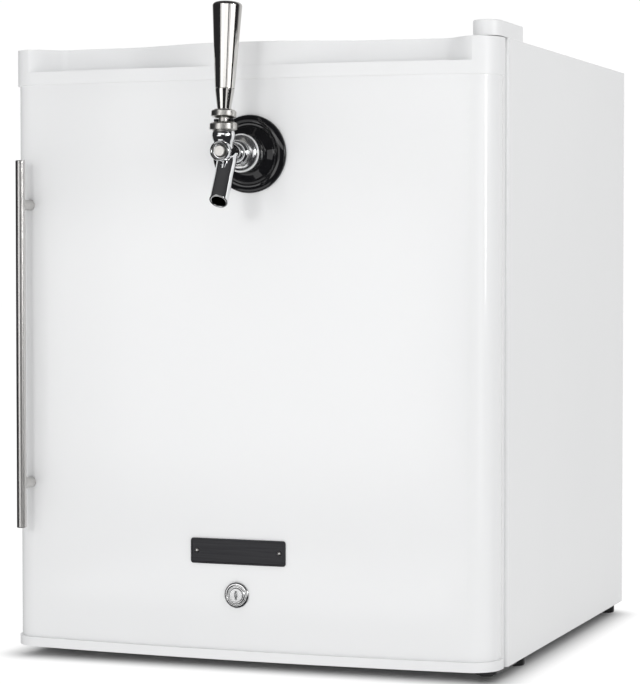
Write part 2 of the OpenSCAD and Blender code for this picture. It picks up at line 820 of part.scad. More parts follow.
module foot_places() {
    for (side = [-1, 1])
        translate([side * (half_w - foot_inset), front_foot_y, 0]) children();
}
module rear_foot_places() {
    for (side = [-1, 1])
        translate([side * (half_w - foot_inset), cab_d - rear_foot_y, 0]) children();
}
module foot_sockets() {
    color(white) from_front() foot_places() translate([0, 0, bottom_z]) difference() {
        cylinder(r = socket_r, h = socket_h);
        translate([0, 0, -eps]) cylinder(r = stud_r + run, h = stud_l + 1 + eps);
    }
}
module front_foot(side) {
    color(black) from_front() translate([side * (half_w - foot_inset), front_foot_y, 0]) union() {
        rotate_extrude() polygon([[0, 0], [foot_r - 1, 0], [foot_r, 1], [foot_r, foot_h - pass - 1.5],
            [foot_r - 1.5, foot_h - pass], [0, foot_h - pass]]);
        cylinder(r = stud_r, h = bottom_z + stud_l);
    }
}
module front_foot_left() {
    front_foot(-1);
}
module front_foot_right() {
    front_foot(1);
}
module rear_feet() {
    color(black) from_front() rear_foot_places() union() {
        rotate_extrude() polygon([[0, 0], [foot_r - 1, 0], [foot_r, 1], [foot_r, foot_h], [0, foot_h]]);
        cylinder(r = rear_stud_r, h = foot_h + bay_plate_t + 2);
    }
}

// Hinges

// Outline of a hinge piece: a round nose on the hinge axis and a straight tail
module hinge_plan(r, back) {
    polygon(concat(arc(hinge_x, -hinge_reach, r, 180, 360, 24), [[hinge_x + r, back], [hinge_x - r, back]]));
}
module hinge_screw_holes() {
    for (y = hinge_screw_y, z = [bottom_z, top_z])
        translate([hinge_x, y, z - hinge_screw_l]) cylinder(r = hinge_screw_r + fit, h = 2 * hinge_screw_l);
}
module hinge_bracket(z) {
    difference() {
        translate([0, 0, z]) linear_extrude(hinge_t) hinge_plan(hinge_r, hinge_l);
        hinge_screw_holes();
        translate([hinge_x, -hinge_reach, z - eps]) cylinder(r = pin_r + fit, h = hinge_t + 2 * eps);
    }
}
module top_hinge_bracket() {
    color(steel) from_front() hinge_bracket(top_z);
}
module bottom_hinge_bracket() {
    color(steel) from_front() hinge_bracket(bottom_z - hinge_t);
}
module top_hinge_pin() {
    color(steel) from_front() translate([hinge_x, -hinge_reach, 0]) union() {
        translate([0, 0, door_z1 - pin_l]) cylinder(r = pin_r, h = top_z + hinge_t - door_z1 + pin_l + eps);
        translate([0, 0, top_z + hinge_t]) cylinder(r = pin_head_r, h = pin_head_h);
    }
}
module bottom_hinge_pin() {
    color(steel) from_front() translate([hinge_x, -hinge_reach, 0]) union() {
        translate([0, 0, bottom_z - hinge_t - eps])
            cylinder(r = pin_r, h = door_z0 + pin_l - bottom_z + hinge_t + eps);
        translate([0, 0, bottom_z - hinge_t - pin_head_h]) cylinder(r = pin_head_r, h = pin_head_h);
    }
}
module hinge_screw() {
    translate([0, 0, hinge_t]) cylinder(r = hinge_head_r, h = hinge_head_h);
    translate([0, 0, hinge_t - hinge_screw_l]) cylinder(r = hinge_screw_r, h = hinge_screw_l + hinge_head_h);
}
module hinge_screws() {
    color(steel) from_front() for (y = hinge_screw_y) {
        translate([hinge_x, y, top_z]) hinge_screw();
        translate([hinge_x, y, bottom_z]) mirror([0, 0, 1]) hinge_screw();
    }
}
module hinge_cover() {
    color(white) from_front() difference() {
        translate([0, 0, top_z]) linear_extrude(cover_h) hinge_plan(hinge_inset, cover_l);
        translate([0, 0, top_z - eps]) linear_extrude(cover_h - cover_t + eps)
            hinge_plan(hinge_inset - cover_t, cover_l - cover_t);
    }
}

// Door

module door_skin() {
    window = door_w / 2 - flange_w;
    color(white) from_front() difference() {
        translate([0, 0, skin_z0]) linear_extrude(skin_z1 - skin_z0) difference() {
            polygon(door_plan(0, door_back));
            polygon(door_plan(sheet_t, door_back - sheet_t));
            translate([-window, door_back - 2 * sheet_t]) square([2 * window, 3 * sheet_t]);
        }
        door_holes(0);
    }
}
// Holes through the door for what passes it, up to the inner face at back
module door_holes(back) {
    translate([tap_x, 0, tap_z]) y_rod(shank_r + fit, -2 * door_front, back + eps);
    translate([lock_x, 0, lock_z]) y_rod(barrel_r + fit, -2 * door_front, back + eps);
    bar_posts() y_rod(handle_screw_r + fit, bar_y, handle_head_y);
    bar_posts() y_rod(handle_head_r + fit, handle_head_y - fit, handle_head_y + handle_head_h + fit);
    rivet_places() y_rod(rivet_stem_r + fit, -door_front - eps, 2 * rivet_grip - door_front);
}
// The space behind the door's inner panel, made smaller by d
module panel_space(d, y0) {
    along_y(y0, panel_in - liner_t - d) polygon(rounded(-panel_x + liner_t + d, panel_z0 + liner_t + d,
        panel_x - liner_t - d, panel_z1 - liner_t - d, liner_r - liner_t - d));
}
module door_insulation() {
    color("khaki") from_front() difference() {
        union() {
            translate([0, 0, skin_z0 + fit]) linear_extrude(skin_z1 - skin_z0 - 2 * fit)
                polygon(door_plan(sheet_t + fit, door_back - sheet_t - fit));
            panel_space(fit, door_back - 2 * sheet_t);
        }
        door_holes(panel_in);
        translate([hinge_x, -hinge_reach, skin_z0 - eps])
            cylinder(r = boss_r + fit, h = door_z0 + boss_l + fit - skin_z0 + eps);
        box(-door_w, door_back - sheet_t - fit, skin_z1 - flange_w, door_w, 0, skin_z1 + eps);
    }
}
module door_top_cap() {
    cap_z = skin_z1;
    ledge_z = cap_z + band_h;
    color(white) from_front() difference() {
        union() {
            difference() {
                translate([0, 0, cap_z]) linear_extrude(top_cap_h) polygon(door_plan(-cap_over, door_back));
                translate([0, 0, cap_z - eps]) linear_extrude(band_h - cap_wall + eps)
                    polygon(door_plan(cap_wall, door_back - cap_wall));
                translate([0, 0, ledge_z - cap_wall - eps]) linear_extrude(top_cap_h - band_h + eps)
                    difference() {
                        polygon(door_plan(cap_wall, door_back - cap_wall));
                        polygon(scoop_plan(cap_wall));
                    }
                translate([0, 0, ledge_z]) linear_extrude(top_cap_h) polygon(scoop_plan(0));
            }
            translate([hinge_x, -hinge_reach, door_z1 - boss_l]) cylinder(r = boss_r, h = boss_l);
        }
        translate([hinge_x, -hinge_reach, door_z1 - bush_l]) cylinder(r = bush_r + fit, h = bush_l + eps);
    }
}
module door_bottom_cap() {
    color(white) from_front() difference() {
        union() {
            difference() {
                translate([0, 0, door_z0]) linear_extrude(low_cap_h) polygon(door_plan(-cap_over, door_back));
                translate([0, 0, door_z0 + cap_wall]) linear_extrude(low_cap_h)
                    polygon(door_plan(cap_wall, door_back - cap_wall));
            }
            translate([hinge_x, -hinge_reach, door_z0]) cylinder(r = boss_r, h = boss_l);
        }
        translate([hinge_x, -hinge_reach, door_z0 - eps]) cylinder(r = bush_r + fit, h = bush_l + eps);
    }
}
module hinge_bushes() {
    color(white) from_front() for (z = [door_z0, door_z1 - bush_l])
        translate([hinge_x, -hinge_reach, z]) difference() {
            cylinder(r = bush_r, h = bush_l);
            translate([0, 0, -eps]) cylinder(r = pin_r + run, h = bush_l + 2 * eps);
        }
}
module door_liner() {
    edge = door_w / 2 - flange_w / 2;
    color(white) from_front() difference() {
        union() {
            box(-edge, door_back, door_z0 + flange_w / 2, edge, panel_back, door_z1 - flange_w / 2);
            along_y(door_back, panel_in) polygon(rounded(-panel_x, panel_z0, panel_x, panel_z1, liner_r));
        }
        panel_space(0, door_back - eps);
        translate([tap_x, 0, tap_z]) y_rod(shank_r + fit, door_back - eps, panel_in + eps);
        translate([lock_x, 0, lock_z]) y_rod(barrel_r + fit, door_back - eps, panel_in + eps);
    }
}
module seal_ring(d, w, y0, y1) {
    x = half_w - seal_inset - d;
    z0 = bottom_z + seal_inset + d;
    z1 = top_z - seal_inset - d;
    along_y(y0, y1) difference() {
        polygon([[-x, z0], [x, z0], [x, z1], [-x, z1]]);
        polygon([[-x + w, z0 + w], [x - w, z0 + w], [x - w, z1 - w], [-x + w, z1 - w]]);
    }
}
module door_gasket() {
    depth = door_gap - liner_t - seal_gap;
    color("whitesmoke") from_front() union() {
        seal_ring(0, seal_w, panel_back, panel_back + depth * 0.3);
        seal_ring(seal_w * 0.25, seal_w * 0.5, panel_back + depth * 0.3 - eps, panel_back + depth * 0.6);
        seal_ring(seal_w * 0.05, seal_w * 0.85, panel_back + depth * 0.6 - eps, panel_back + depth);
    }
}

// Door handle

module bar_posts() {
    for (side = [-1, 1])
        translate([bar_x, 0, bar_z + side * post_span / 2]) children();
}
module handle_bar() {
    color(steel) from_front() translate([bar_x, bar_y, bar_z - bar_l / 2]) rotate_extrude() polygon([
        [0, 0], [bar_r - bar_chamfer, 0], [bar_r, bar_chamfer], [bar_r, bar_l - bar_chamfer],
        [bar_r - bar_chamfer, bar_l], [0, bar_l]]);
}
module handle_posts() {
    color(steel) from_front() difference() {
        bar_posts() y_rod(post_r, bar_y, bar_door_y + post_r);
        translate([0, 0, skin_z0]) linear_extrude(skin_z1 - skin_z0) polygon(door_plan(-fit / 2, door_back));
        translate([bar_x, bar_y, bar_z - bar_l / 2]) cylinder(r = bar_r + fit / 2, h = bar_l);
        bar_posts() y_rod(handle_screw_r + fit, handle_head_y - handle_screw_l - fit, handle_head_y);
    }
}
module handle_screws() {
    color(steel) from_front() bar_posts() {
        y_rod(handle_screw_r, handle_head_y - handle_screw_l, handle_head_y + handle_head_h);
        y_rod(handle_head_r, handle_head_y, handle_head_y + handle_head_h);
    }
}

// Nameplate

module rivet_places() {
    for (side = [-1, 1])
        translate([plate_x + side * (plate_w / 2 - rivet_in), 0, plate_z]) children();
}
module nameplate() {
    color(dark) from_front() difference() {
        translate([0, 0, plate_z - plate_h / 2]) linear_extrude(plate_h) intersection() {
            difference() {
                polygon(door_plan(-plate_t, door_back));
                polygon(door_plan(0, door_back));
            }
            translate([plate_x - plate_w / 2, -2 * door_front]) square([plate_w, 2 * door_front]);
        }
        rivet_places() y_rod(rivet_stem_r + fit, -door_front - 2 * plate_t, -door_front + plate_t);
    }
}
module nameplate_rivets() {
    face = skin_y(plate_w / 2 - rivet_in - abs(plate_x)) - plate_t - fit;
    color(steel) from_front() rivet_places() {
        y_rod(rivet_r, face - rivet_head_h, face);
        y_rod(rivet_stem_r, face - rivet_head_h / 2, face + plate_t + rivet_grip);
    }
}

// Lock

module lock_housing() {
    color(steel) at_lock() difference() {
        union() {
            y_rod(bezel_r, lock_y - bezel_t, lock_y);
            y_rod(barrel_r, lock_y - eps, barrel_end);
        }
        y_rod(plug_r + run, lock_y - bezel_t - eps, barrel_end + eps);
    }
}
module lock_nut() {
    color(steel) at_lock() difference() {
        translate([0, panel_in + lock_nut_t, 0]) rotate([90, 0, 0])
            cylinder(r = barrel_r + 4.5, h = lock_nut_t, $fn = 6);
        y_rod(barrel_r + fit, panel_in - eps, panel_in + lock_nut_t + eps);
    }
}
module lock_plug() {
    color(steel) at_lock() difference() {
        union() {
            y_rod(plug_r, lock_y - bezel_t - 0.4, cam_y - fit);
            box(-tail_w / 2, cam_y - eps, -tail_w / 2, tail_w / 2, cam_y + cam_t, tail_w / 2);
            y_rod(tail_w / 2 + 2, cam_y + cam_t + fit, cam_y + cam_t + 3);
            y_rod(tail_w / 2 - 1, cam_y, cam_y + cam_t + 1);
        }
        box(-0.9, lock_y - 2 * bezel_t, -plug_r * 0.65, 0.9, lock_y + 6, plug_r * 0.65);
    }
}
module lock_cam() {
    color(steel) at_lock() difference() {
        union() {
            y_rod(tail_w / 2 + 4, cam_y, cam_y + cam_t);
            box(0, cam_y, -cam_w / 2, cam_l, cam_y + cam_t, cam_w / 2);
        }
        box(-tail_w / 2 - fit, cam_y - eps, -tail_w / 2 - fit, tail_w / 2 + fit, cam_y + cam_t + eps,
            tail_w / 2 + fit);
    }
}

// Tap

module tap_flange() {
    color(black) at_tap() rotate([90, 0, 0]) rotate_extrude() polygon([
        [shank_r + fit, 0], [flange_r, 0], [flange_r, 2], [flange_r - 1.5, 3.5], [flange_r - 7, 4.5],
        [flange_r - 8, 3.5], [flange_r - 10, 3.5], [flange_r - 11, 5.5], [nut_r + 2, flange_h - 1],
        [nut_r, flange_h], [shank_r + fit, flange_h]]);
}
module tap_shank() {
    color(steel) at_tap() difference() {
        y_rod(shank_r, -shank_u, tail_y - tap_y);
        y_rod(shank_bore, -shank_u - eps, tail_y - tap_y + eps);
    }
}
module shank_nut() {
    color(steel) at_tap() difference() {
        translate([0, panel_in - tap_y + shank_nut_t, 0]) rotate([90, 0, 0])
            cylinder(r = shank_r + 7, h = shank_nut_t, $fn = 6);
        y_rod(shank_r + fit, panel_in - tap_y - eps, panel_in - tap_y + shank_nut_t + eps);
    }
}
module coupling_nut() {
    neck = faucet_r + 1;
    end_u = nut_u + nut_l;
    lip_u = faucet_u + 4 + fit;
    color(steel) at_tap() rotate([90, 0, 0]) rotate_extrude() polygon(concat(
        [[shank_r + fit, nut_u], [nut_r - 1, nut_u], [nut_r, nut_u + 1]],
        arc(nut_r - 7, end_u - 7, 7, 0, 70, 8),
        [[neck, end_u], [neck, lip_u], [shank_r + fit, lip_u]]));
}
module tailpiece() {
    start = tail_y - tap_y + fit;
    neck_end = start + tail_nut_front + 1;
    end = start + tail_l;
    color(steel) at_tap() rotate([-90, 0, 0]) rotate_extrude() polygon([
        [tail_bore, start], [shank_r - 1, start], [shank_r - 1, start + tail_flange_t],
        [tail_neck_r, start + tail_flange_t], [tail_neck_r, neck_end], [tail_r, neck_end], [tail_r, end - 1],
        [tail_r - 0.6, end], [tail_bore, end]]);
}
module tailpiece_nut() {
    start = tail_y - tap_y;
    color(steel) at_tap() difference() {
        translate([0, start + tail_nut_front, 0]) rotate([90, 0, 0])
            cylinder(r = shank_r + 5, h = tail_nut_front + tail_nut_back, $fn = 6);
        y_rod(shank_r + fit, start - tail_nut_back - eps, start + tail_flange_t + 2 * fit);
        y_rod(tail_neck_r + fit, start, start + tail_nut_front + eps);
    }
}
module along_spout() {
    translate([0, -spout_u, 0]) rotate([180 - spout_lean, 0, 0]) children();
}
module faucet_body() {
    slot_x = tip_r + pass;
    slot_front = -lever_u - tip_rest - tip_r - pass;
    slot_back = -lever_u + tip_full + tip_r + pass;
    color(steel) at_tap() difference() {
        union() {
            u_rod(shank_r, faucet_u, faucet_u + 4);
            u_rod(faucet_r, faucet_u, nose_u);
            translate([0, -lever_u, 0]) cylinder(r = neck_r, h = neck_h);
            along_spout() cylinder(r = spout_r, h = spout_l);
        }
        u_rod(seat_washer_r + pass, faucet_u - eps, seat_u);
        u_rod(4.6, seat_u - eps, seat_u + seat_t + eps);
        u_rod(plunger_r + 1, seat_u + seat_t, spout_u + 2);
        u_rod(plunger_r + run, spout_u, nose_u + eps);
        along_spout() cylinder(r = spout_bore, h = spout_l + eps);
        box(-slot_x, slot_front, -plunger_r / 2, slot_x, slot_back, faucet_r);
        box(-slot_x, slot_front, 0, slot_x, -lever_u + tip_full, neck_h + eps);
        translate([0, -lever_u, pivot_h]) sphere(r = ball_r + pass);
    }
}
module faucet_bonnet() {
    slot = stem_r + pass + (bonnet_top - pivot_h) * tan(handle_lean);
    color(steel) at_tap() translate([0, -lever_u, 0]) difference() {
        rotate_extrude() polygon([[0, neck_h], [bonnet_r, neck_h], [bonnet_r, bonnet_side], [8.5, bonnet_top],
            [0, bonnet_top]]);
        translate([0, 0, pivot_h]) sphere(r = ball_r + pass);
        translate([0, 0, neck_h - eps]) cylinder(r = ball_r + pass, h = pivot_h - neck_h + eps);
        translate([0, 0, pivot_h]) cylinder(r = slot, h = 10);
        translate([-slot, -9, pivot_h + 1]) cube([2 * slot, 9, 10]);
    }
}
module tap_lever() {
    color(steel) at_lever() union() {
        sphere(r = ball_r);
        translate([0, 0, -finger_l]) cylinder(r = finger_r, h = finger_l);
        translate([0, 0, -finger_l]) sphere(r = tip_r);
        cylinder(r = stem_r, h = handle_z + 14);
        translate([0, 0, ferrule_z]) cylinder(r = ferrule_r, h = ferrule_h);
    }
}
module tap_handle() {
    edge = 3;
    neck_z = 18;
    neck_top_r = handle_foot_r + 2.7;
    color(dark) at_lever() translate([0, 0, handle_z + fit]) difference() {
        rotate_extrude() polygon(concat(
            [[0, 0], [handle_foot_r, 0], [neck_top_r, neck_z], [neck_top_r - 0.4, neck_z + 0.4],
                [neck_top_r, neck_z + 0.8]],
            arc(handle_top_r - edge, handle_l - edge, edge, 0, 90, 6), [[0, handle_l]]));
        translate([0, 0, -eps]) cylinder(r = stem_r + fit, h = 14 + 2 * fit + eps);
    }
}
module tap_plunger() {
    washer_u = seat_u - pass - seat_washer_t;
    groove_y = -lever_u - tip_rest;
    color("gainsboro") at_tap() difference() {
        union() {
            u_rod(plunger_r, lever_u - 14, nose_u + 0.4);
            u_rod(3, washer_u - stem_end_t, lever_u - 13);
            u_rod(seat_washer_r, washer_u, washer_u + seat_washer_t);
            u_rod(4, washer_u - stem_end_t, washer_u + eps);
        }
        box(-plunger_r - eps, groove_y - tip_r - pass, -0.4, plunger_r + eps, groove_y + tip_r + pass,
            plunger_r + eps);
    }
}

left_side_panel();
right_side_panel();
top_panel();
back_panel();
back_panel_screws();
base_pan();
inner_liner();
cabinet_insulation();
bay_floor_plate();
compressor();
compressor_mounts();
starter_box();
filter_drier();
discharge_pipe();
suction_pipe();
condenser_tube();
condenser_wires();
condenser_clips();
cable_gland();
foot_sockets();
front_foot_left();
front_foot_right();
rear_feet();
top_hinge_bracket();
top_hinge_pin();
bottom_hinge_bracket();
bottom_hinge_pin();
hinge_screws();
hinge_cover();
lock_strike();
evaporator_plate();
thermostat_housing();
thermostat_knob();
door_skin();
door_insulation();
door_top_cap();
door_bottom_cap();
door_liner();
door_gasket();
hinge_bushes();
handle_bar();
handle_posts();
handle_screws();
nameplate();
nameplate_rivets();
lock_housing();
lock_nut();
lock_plug();
lock_cam();
tap_flange();
tap_shank();
shank_nut();
coupling_nut();
tailpiece();
tailpiece_nut();
faucet_body();
faucet_bonnet();
tap_lever();
tap_handle();
tap_plunger();
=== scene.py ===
import json
import math

import bmesh
import bpy
from mathutils import Matrix, Vector


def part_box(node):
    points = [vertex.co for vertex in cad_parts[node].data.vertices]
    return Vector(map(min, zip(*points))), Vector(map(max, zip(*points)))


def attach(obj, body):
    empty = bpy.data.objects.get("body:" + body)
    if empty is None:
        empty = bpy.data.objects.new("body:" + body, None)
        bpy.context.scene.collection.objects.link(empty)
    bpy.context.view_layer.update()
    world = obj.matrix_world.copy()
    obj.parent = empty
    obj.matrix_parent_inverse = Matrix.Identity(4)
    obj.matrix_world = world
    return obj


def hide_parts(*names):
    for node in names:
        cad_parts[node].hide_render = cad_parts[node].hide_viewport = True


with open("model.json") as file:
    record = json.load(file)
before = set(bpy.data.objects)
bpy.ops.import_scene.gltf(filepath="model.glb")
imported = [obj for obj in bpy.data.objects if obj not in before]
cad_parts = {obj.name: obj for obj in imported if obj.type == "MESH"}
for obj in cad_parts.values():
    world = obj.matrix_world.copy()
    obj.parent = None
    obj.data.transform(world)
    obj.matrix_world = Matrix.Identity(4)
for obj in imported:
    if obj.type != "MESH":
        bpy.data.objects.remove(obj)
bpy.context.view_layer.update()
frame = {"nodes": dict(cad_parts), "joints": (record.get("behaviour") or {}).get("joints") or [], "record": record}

mm = 0.001

# The studio: a pale seamless floor that glows white, with a contact shadow painted round the cabinet's footprint,
# a small frontal key that throws the tap's soft shadow on the door, wide lights all round, a narrow strip that
# draws the bright line down the door's rounded edge, and cards that show only as reflections in the bright metal.
scene = bpy.context.scene
scene.view_settings.view_transform = "Standard"
scene.cycles.use_denoising = True

lens = bpy.data.cameras.new("photo_camera")
lens.lens = 128.2
camera = bpy.data.objects.new("photo_camera", lens)
camera.location = (0.8228, -2.2484, 0.3757)
camera.rotation_euler = (math.radians(87.98), 0, math.radians(20.19))
scene.collection.objects.link(camera)
scene.camera = camera


def softbox(name, place, aim, size, watts, lights=True, mirrored=True):
    """A rectangular light that may be kept out of the shading or out of the reflections."""
    lamp = bpy.data.lights.new(name, "AREA")
    lamp.shape = "RECTANGLE"
    lamp.size, lamp.size_y = size
    lamp.energy = watts
    box = bpy.data.objects.new(name, lamp)
    box.location = place
    box.rotation_euler = (Vector(aim) - Vector(place)).to_track_quat("-Z", "Y").to_euler()
    box.visible_camera, box.visible_diffuse, box.visible_glossy = False, lights, mirrored
    scene.collection.objects.link(box)


middle = (0, 0, 0.4)
tap_grip = (0, -0.28, 0.55)
softbox("key_left", (-1.5, -3.0, 1.75), middle, (2.0, 2.2), 4.5, mirrored=False)
softbox("key_front", (-0.05, -3.3, 0.9), middle, (0.45, 0.45), 14.2, mirrored=False)
softbox("band_left", (-0.95, -3.2, 0.7), middle, (1.7, 1.8), 8)
softbox("band_right", (2.35, -2.3, 0.45), middle, (1.1, 1.3), 4.5)
softbox("edge_strip", (2.75, -1.22, 0.85), (0.2, -0.1, 0.8), (0.3, 1.1), 10.1)
softbox("side_right", (2.9, 0.5, 0.9), (0.2, 0, 0.35), (1.6, 1.8), 6, mirrored=False)
softbox("overhead", (0.2, -0.3, 3.0), (0, 0, 0), (3.0, 3.0), 38, mirrored=False)
softbox("low_card", (-1.0, -2.6, 0.2), (0, -0.2, 0.15), (1.7, 0.5), 3.2, lights=False)
softbox("floor_card", (-0.16, -0.75, 0.01), (-0.16, -0.75, 1), (0.6, 0.45), 0.85, lights=False)
softbox("front_card", (0.29, -3.29, 1.04), tap_grip, (3.0, 0.4), 6, lights=False)
softbox("right_card", (3.06, -1.24, 0.86), tap_grip, (2.0, 0.5), 5, lights=False)
softbox("rear_fill", (-1.2, 3.2, 1.8), (0, 0, 0.3), (2.2, 1.6), 30, mirrored=False)


class Signal:
    """A shader socket that takes part in Python sums."""

    def __init__(self, nodes, socket):
        self.nodes, self.socket = nodes, socket

    def sum(self, operation, first, second):
        return self.nodes.node("ShaderNodeMath", {"operation": operation}, {0: first, 1: second})

    def beyond(self, reach):
        """How far the value lies outside plus or minus a reach."""
        return self.sum("MAXIMUM", self.sum("ABSOLUTE", self, 0) - reach, 0)

    def __add__(self, other):
        return self.sum("ADD", self, other)

    def __radd__(self, other):
        return self.sum("ADD", other, self)

    def __sub__(self, other):
        return self.sum("SUBTRACT", self, other)

    def __rsub__(self, other):
        return self.sum("SUBTRACT", other, self)

    def __mul__(self, other):
        return self.sum("MULTIPLY", self, other)

    def __rmul__(self, other):
        return self.sum("MULTIPLY", other, self)

    def __pow__(self, other):
        return self.sum("POWER", self, other)

    def __rpow__(self, other):
        return self.sum("POWER", other, self)


class Nodes:
    """A node tree that is written as Python expressions."""

    def __init__(self, tree):
        self.tree = tree

    def plug(self, socket, value):
        if isinstance(value, Signal):
            self.tree.links.new(value.socket, socket)
        else:
            socket.default_value = value

    def node(self, kind, settings=(), inputs=(), output=0):
        """A node of any kind: its settings first, then the values or links of its sockets."""
        made = self.tree.nodes.new(kind)
        for name, value in dict(settings).items():
            setattr(made, name, value)
        for name, value in dict(inputs).items():
            self.plug(made.inputs[name], value)
        return Signal(self, made.outputs[output]) if made.outputs else None

    def place(self, stretch=(1, 1, 1)):
        at = self.node("ShaderNodeTexCoord", output="Object")
        return self.node("ShaderNodeMapping", inputs={"Vector": at, "Scale": stretch})

    def along(self, axis, vector):
        return self.node("ShaderNodeSeparateXYZ", inputs={"Vector": vector}, output=axis)

    def noise(self, scale, detail=2, stretch=(1, 1, 1)):
        inputs = {"Vector": self.place(stretch), "Scale": scale, "Detail": detail}
        return self.node("ShaderNodeTexNoise", inputs=inputs)

    def eased(self, value, low, high):
        """A soft step from 0 at the low value to 1 at the high one."""
        span = {"Value": value, "From Min": low, "From Max": high}
        return self.node("ShaderNodeMapRange", {"interpolation_type": "SMOOTHSTEP"}, span)

    def tones(self, mask, low, high):
        """A colour between two, by a mask."""
        pair = {0: mask, 6: (*low, 1), 7: (*high, 1)}
        return self.node("ShaderNodeMix", {"data_type": "RGBA"}, pair, 2)


class Finish(Nodes):
    """A procedural finish, and the record's material slot that it belongs to."""

    def __init__(self, name, slot, **fixed):
        self.slot = slot
        self.material = bpy.data.materials.new(name)
        self.material.use_nodes = True
        super().__init__(self.material.node_tree)
        self.shader = self.tree.nodes["Principled BSDF"]
        for socket, value in fixed.items():
            self.shader.inputs[socket.replace("_", " ")].default_value = value

    def coat(self, colour, roughness, height=None, depth=0.0, **more):
        """Plugs in what varies over the surface. The depth is the height of the relief."""
        self.plug(self.shader.inputs["Base Color"], colour)
        self.plug(self.shader.inputs["Roughness"], roughness)
        if height is not None:
            relief = {"Height": height, "Distance": depth}
            bump = self.node("ShaderNodeBump", inputs=relief, output="Normal")
            self.plug(self.shader.inputs["Normal"], bump)
        for socket, value in more.items():
            self.plug(self.shader.inputs[socket.replace("_", " ")], value)


world = bpy.data.worlds.new("studio")
scene.world = world
world.use_nodes = True
world.node_tree.nodes.clear()
sky = Nodes(world.node_tree)
heading = sky.node("ShaderNodeTexCoord", output="Generated")
overhead = sky.eased(sky.along("Z", heading), 0.1, 0.9)
behind = sky.eased(sky.along("Y", heading), 0.45, 0.85)
room = sky.node("ShaderNodeBackground", inputs={"Color": (0.3, 0.302, 0.305, 1)})
dark_room = sky.tones(0.04 * overhead + 0.8 * behind, (0.03, 0.03, 0.032), (0.9, 0.9, 0.9))
mirrored = sky.node("ShaderNodeBackground", inputs={"Color": dark_room})
backdrop = sky.node("ShaderNodeBackground", inputs={"Color": (1, 1, 1, 1), "Strength": 1.02})
glossy = sky.node("ShaderNodeLightPath", output="Is Glossy Ray")
seen = sky.node("ShaderNodeLightPath", output="Is Camera Ray")
lit = sky.node("ShaderNodeMixShader", inputs={0: glossy, 1: room, 2: mirrored})
surround = sky.node("ShaderNodeMixShader", inputs={0: seen, 1: lit, 2: backdrop})
sky.node("ShaderNodeOutputWorld", inputs={"Surface": surround})

floor_reach, floor_drop = 14, 0.2 * mm
# A painted contact shadow: the floor glows an even white away from the cabinet, and over a box round its
# footprint, fading out over 5 cm, the glow is taken away.
painted_shadow_x, painted_shadow_y, painted_shadow_middle, painted_shadow_fade = 0.218, 0.215, 0.03, 0.05
ground = Finish("studio_floor", None, Specular_IOR_Level=0.1, Emission_Strength=1.0)
spot = ground.place()
aside = ground.along("X", spot).beyond(painted_shadow_x)
ahead = (ground.along("Y", spot) - painted_shadow_middle).beyond(painted_shadow_y)
# The mask of the painted shadow: 0 over the footprint, rising to 1 at 5 cm outside it. Inside, the floor is an
# unlit grey; outside, it glows white.
outside_painted_shadow = ground.eased((aside * aside + ahead * ahead) ** 0.5, 0.0, painted_shadow_fade)
ground.coat(colour=ground.tones(outside_painted_shadow, (0.6, 0.6, 0.6), (0.1, 0.1, 0.1)),
            roughness=0.75 + 0.1 * ground.noise(40),
            Emission_Color=ground.tones(outside_painted_shadow, (0, 0, 0), (0.97, 0.97, 0.97)))
ground_bm = bmesh.new()
bmesh.ops.create_grid(ground_bm, x_segments=2, y_segments=2, size=floor_reach)
bmesh.ops.translate(ground_bm, verts=ground_bm.verts, vec=(0, 0, -floor_drop))
ground_mesh = bpy.data.meshes.new("studio_floor")
ground_bm.to_mesh(ground_mesh)
ground_bm.free()
ground_mesh.materials.append(ground.material)
floor = bpy.data.objects.new("studio_floor", ground_mesh)
scene.collection.objects.link(floor)
floor.visible_glossy = False

# The outer shell: two folded side panels and a top, in sheet steel sprayed with a white enamel that
# keeps a faint orange-peel skin, over a galvanised base and back.
body_of = {node: body for body, nodes in frame["record"]["behaviour"]["bodies"].items() for node in nodes}

white_paint = Finish("white_enamel", "white_paint", Specular_IOR_Level=0.45)
cloud = white_paint.noise(5, 3)
white_paint.coat(colour=white_paint.tones(cloud, (0.83, 0.835, 0.84), (0.86, 0.863, 0.866)),
                 roughness=0.1 + 0.05 * cloud, height=white_paint.noise(160, 1), depth=0.01 * mm)

zinc_steel = Finish("galvanised_steel", "zinc_steel", Metallic=1.0)
spangle = zinc_steel.node("ShaderNodeTexVoronoi", {"feature": "F1"},
                          {"Vector": zinc_steel.place(), "Scale": 130, "Randomness": 1.0}, "Color")
grain = zinc_steel.node("ShaderNodeSeparateColor", inputs={"Color": spangle})
streak = zinc_steel.noise(60, 4)
zinc_steel.coat(colour=zinc_steel.tones(0.5 * grain + 0.5 * streak, (0.6, 0.61, 0.62), (0.72, 0.73, 0.74)),
                roughness=0.38 + 0.08 * grain, height=streak, depth=0.03 * mm)


def dress(finish, *nodes):
    """The CAD nodes themselves, in this finish."""
    for node in nodes:
        slots = frame["nodes"][node].data.materials
        slots.clear()
        slots.append(finish.material)


def piece(name, bm, finish, *nodes, crease=32, body=None):
    """A finished piece that stands for its CAD nodes and rides where they ride."""
    mesh = bpy.data.meshes.new(name)
    bm.to_mesh(mesh)
    bm.free()
    mesh.materials.append(finish.material)
    mesh.polygons.foreach_set("material_index", [0] * len(mesh.polygons))
    mesh.polygons.foreach_set("use_smooth", [True] * len(mesh.polygons))
    mesh.set_sharp_from_angle(angle=math.radians(crease))
    made = bpy.data.objects.new(name, mesh)
    scene.collection.objects.link(made)
    made.modifiers.new("even_normals", "WEIGHTED_NORMAL").keep_sharp = True
    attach(made, body or body_of[nodes[0]])
    if nodes:
        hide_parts(*nodes)


def ridges(bm, sharp):
    """The edges where two faces meet at more than an angle."""
    between = [edge for edge in bm.edges if edge.is_manifold]
    return [edge for edge in between if edge.calc_face_angle() > math.radians(sharp)]


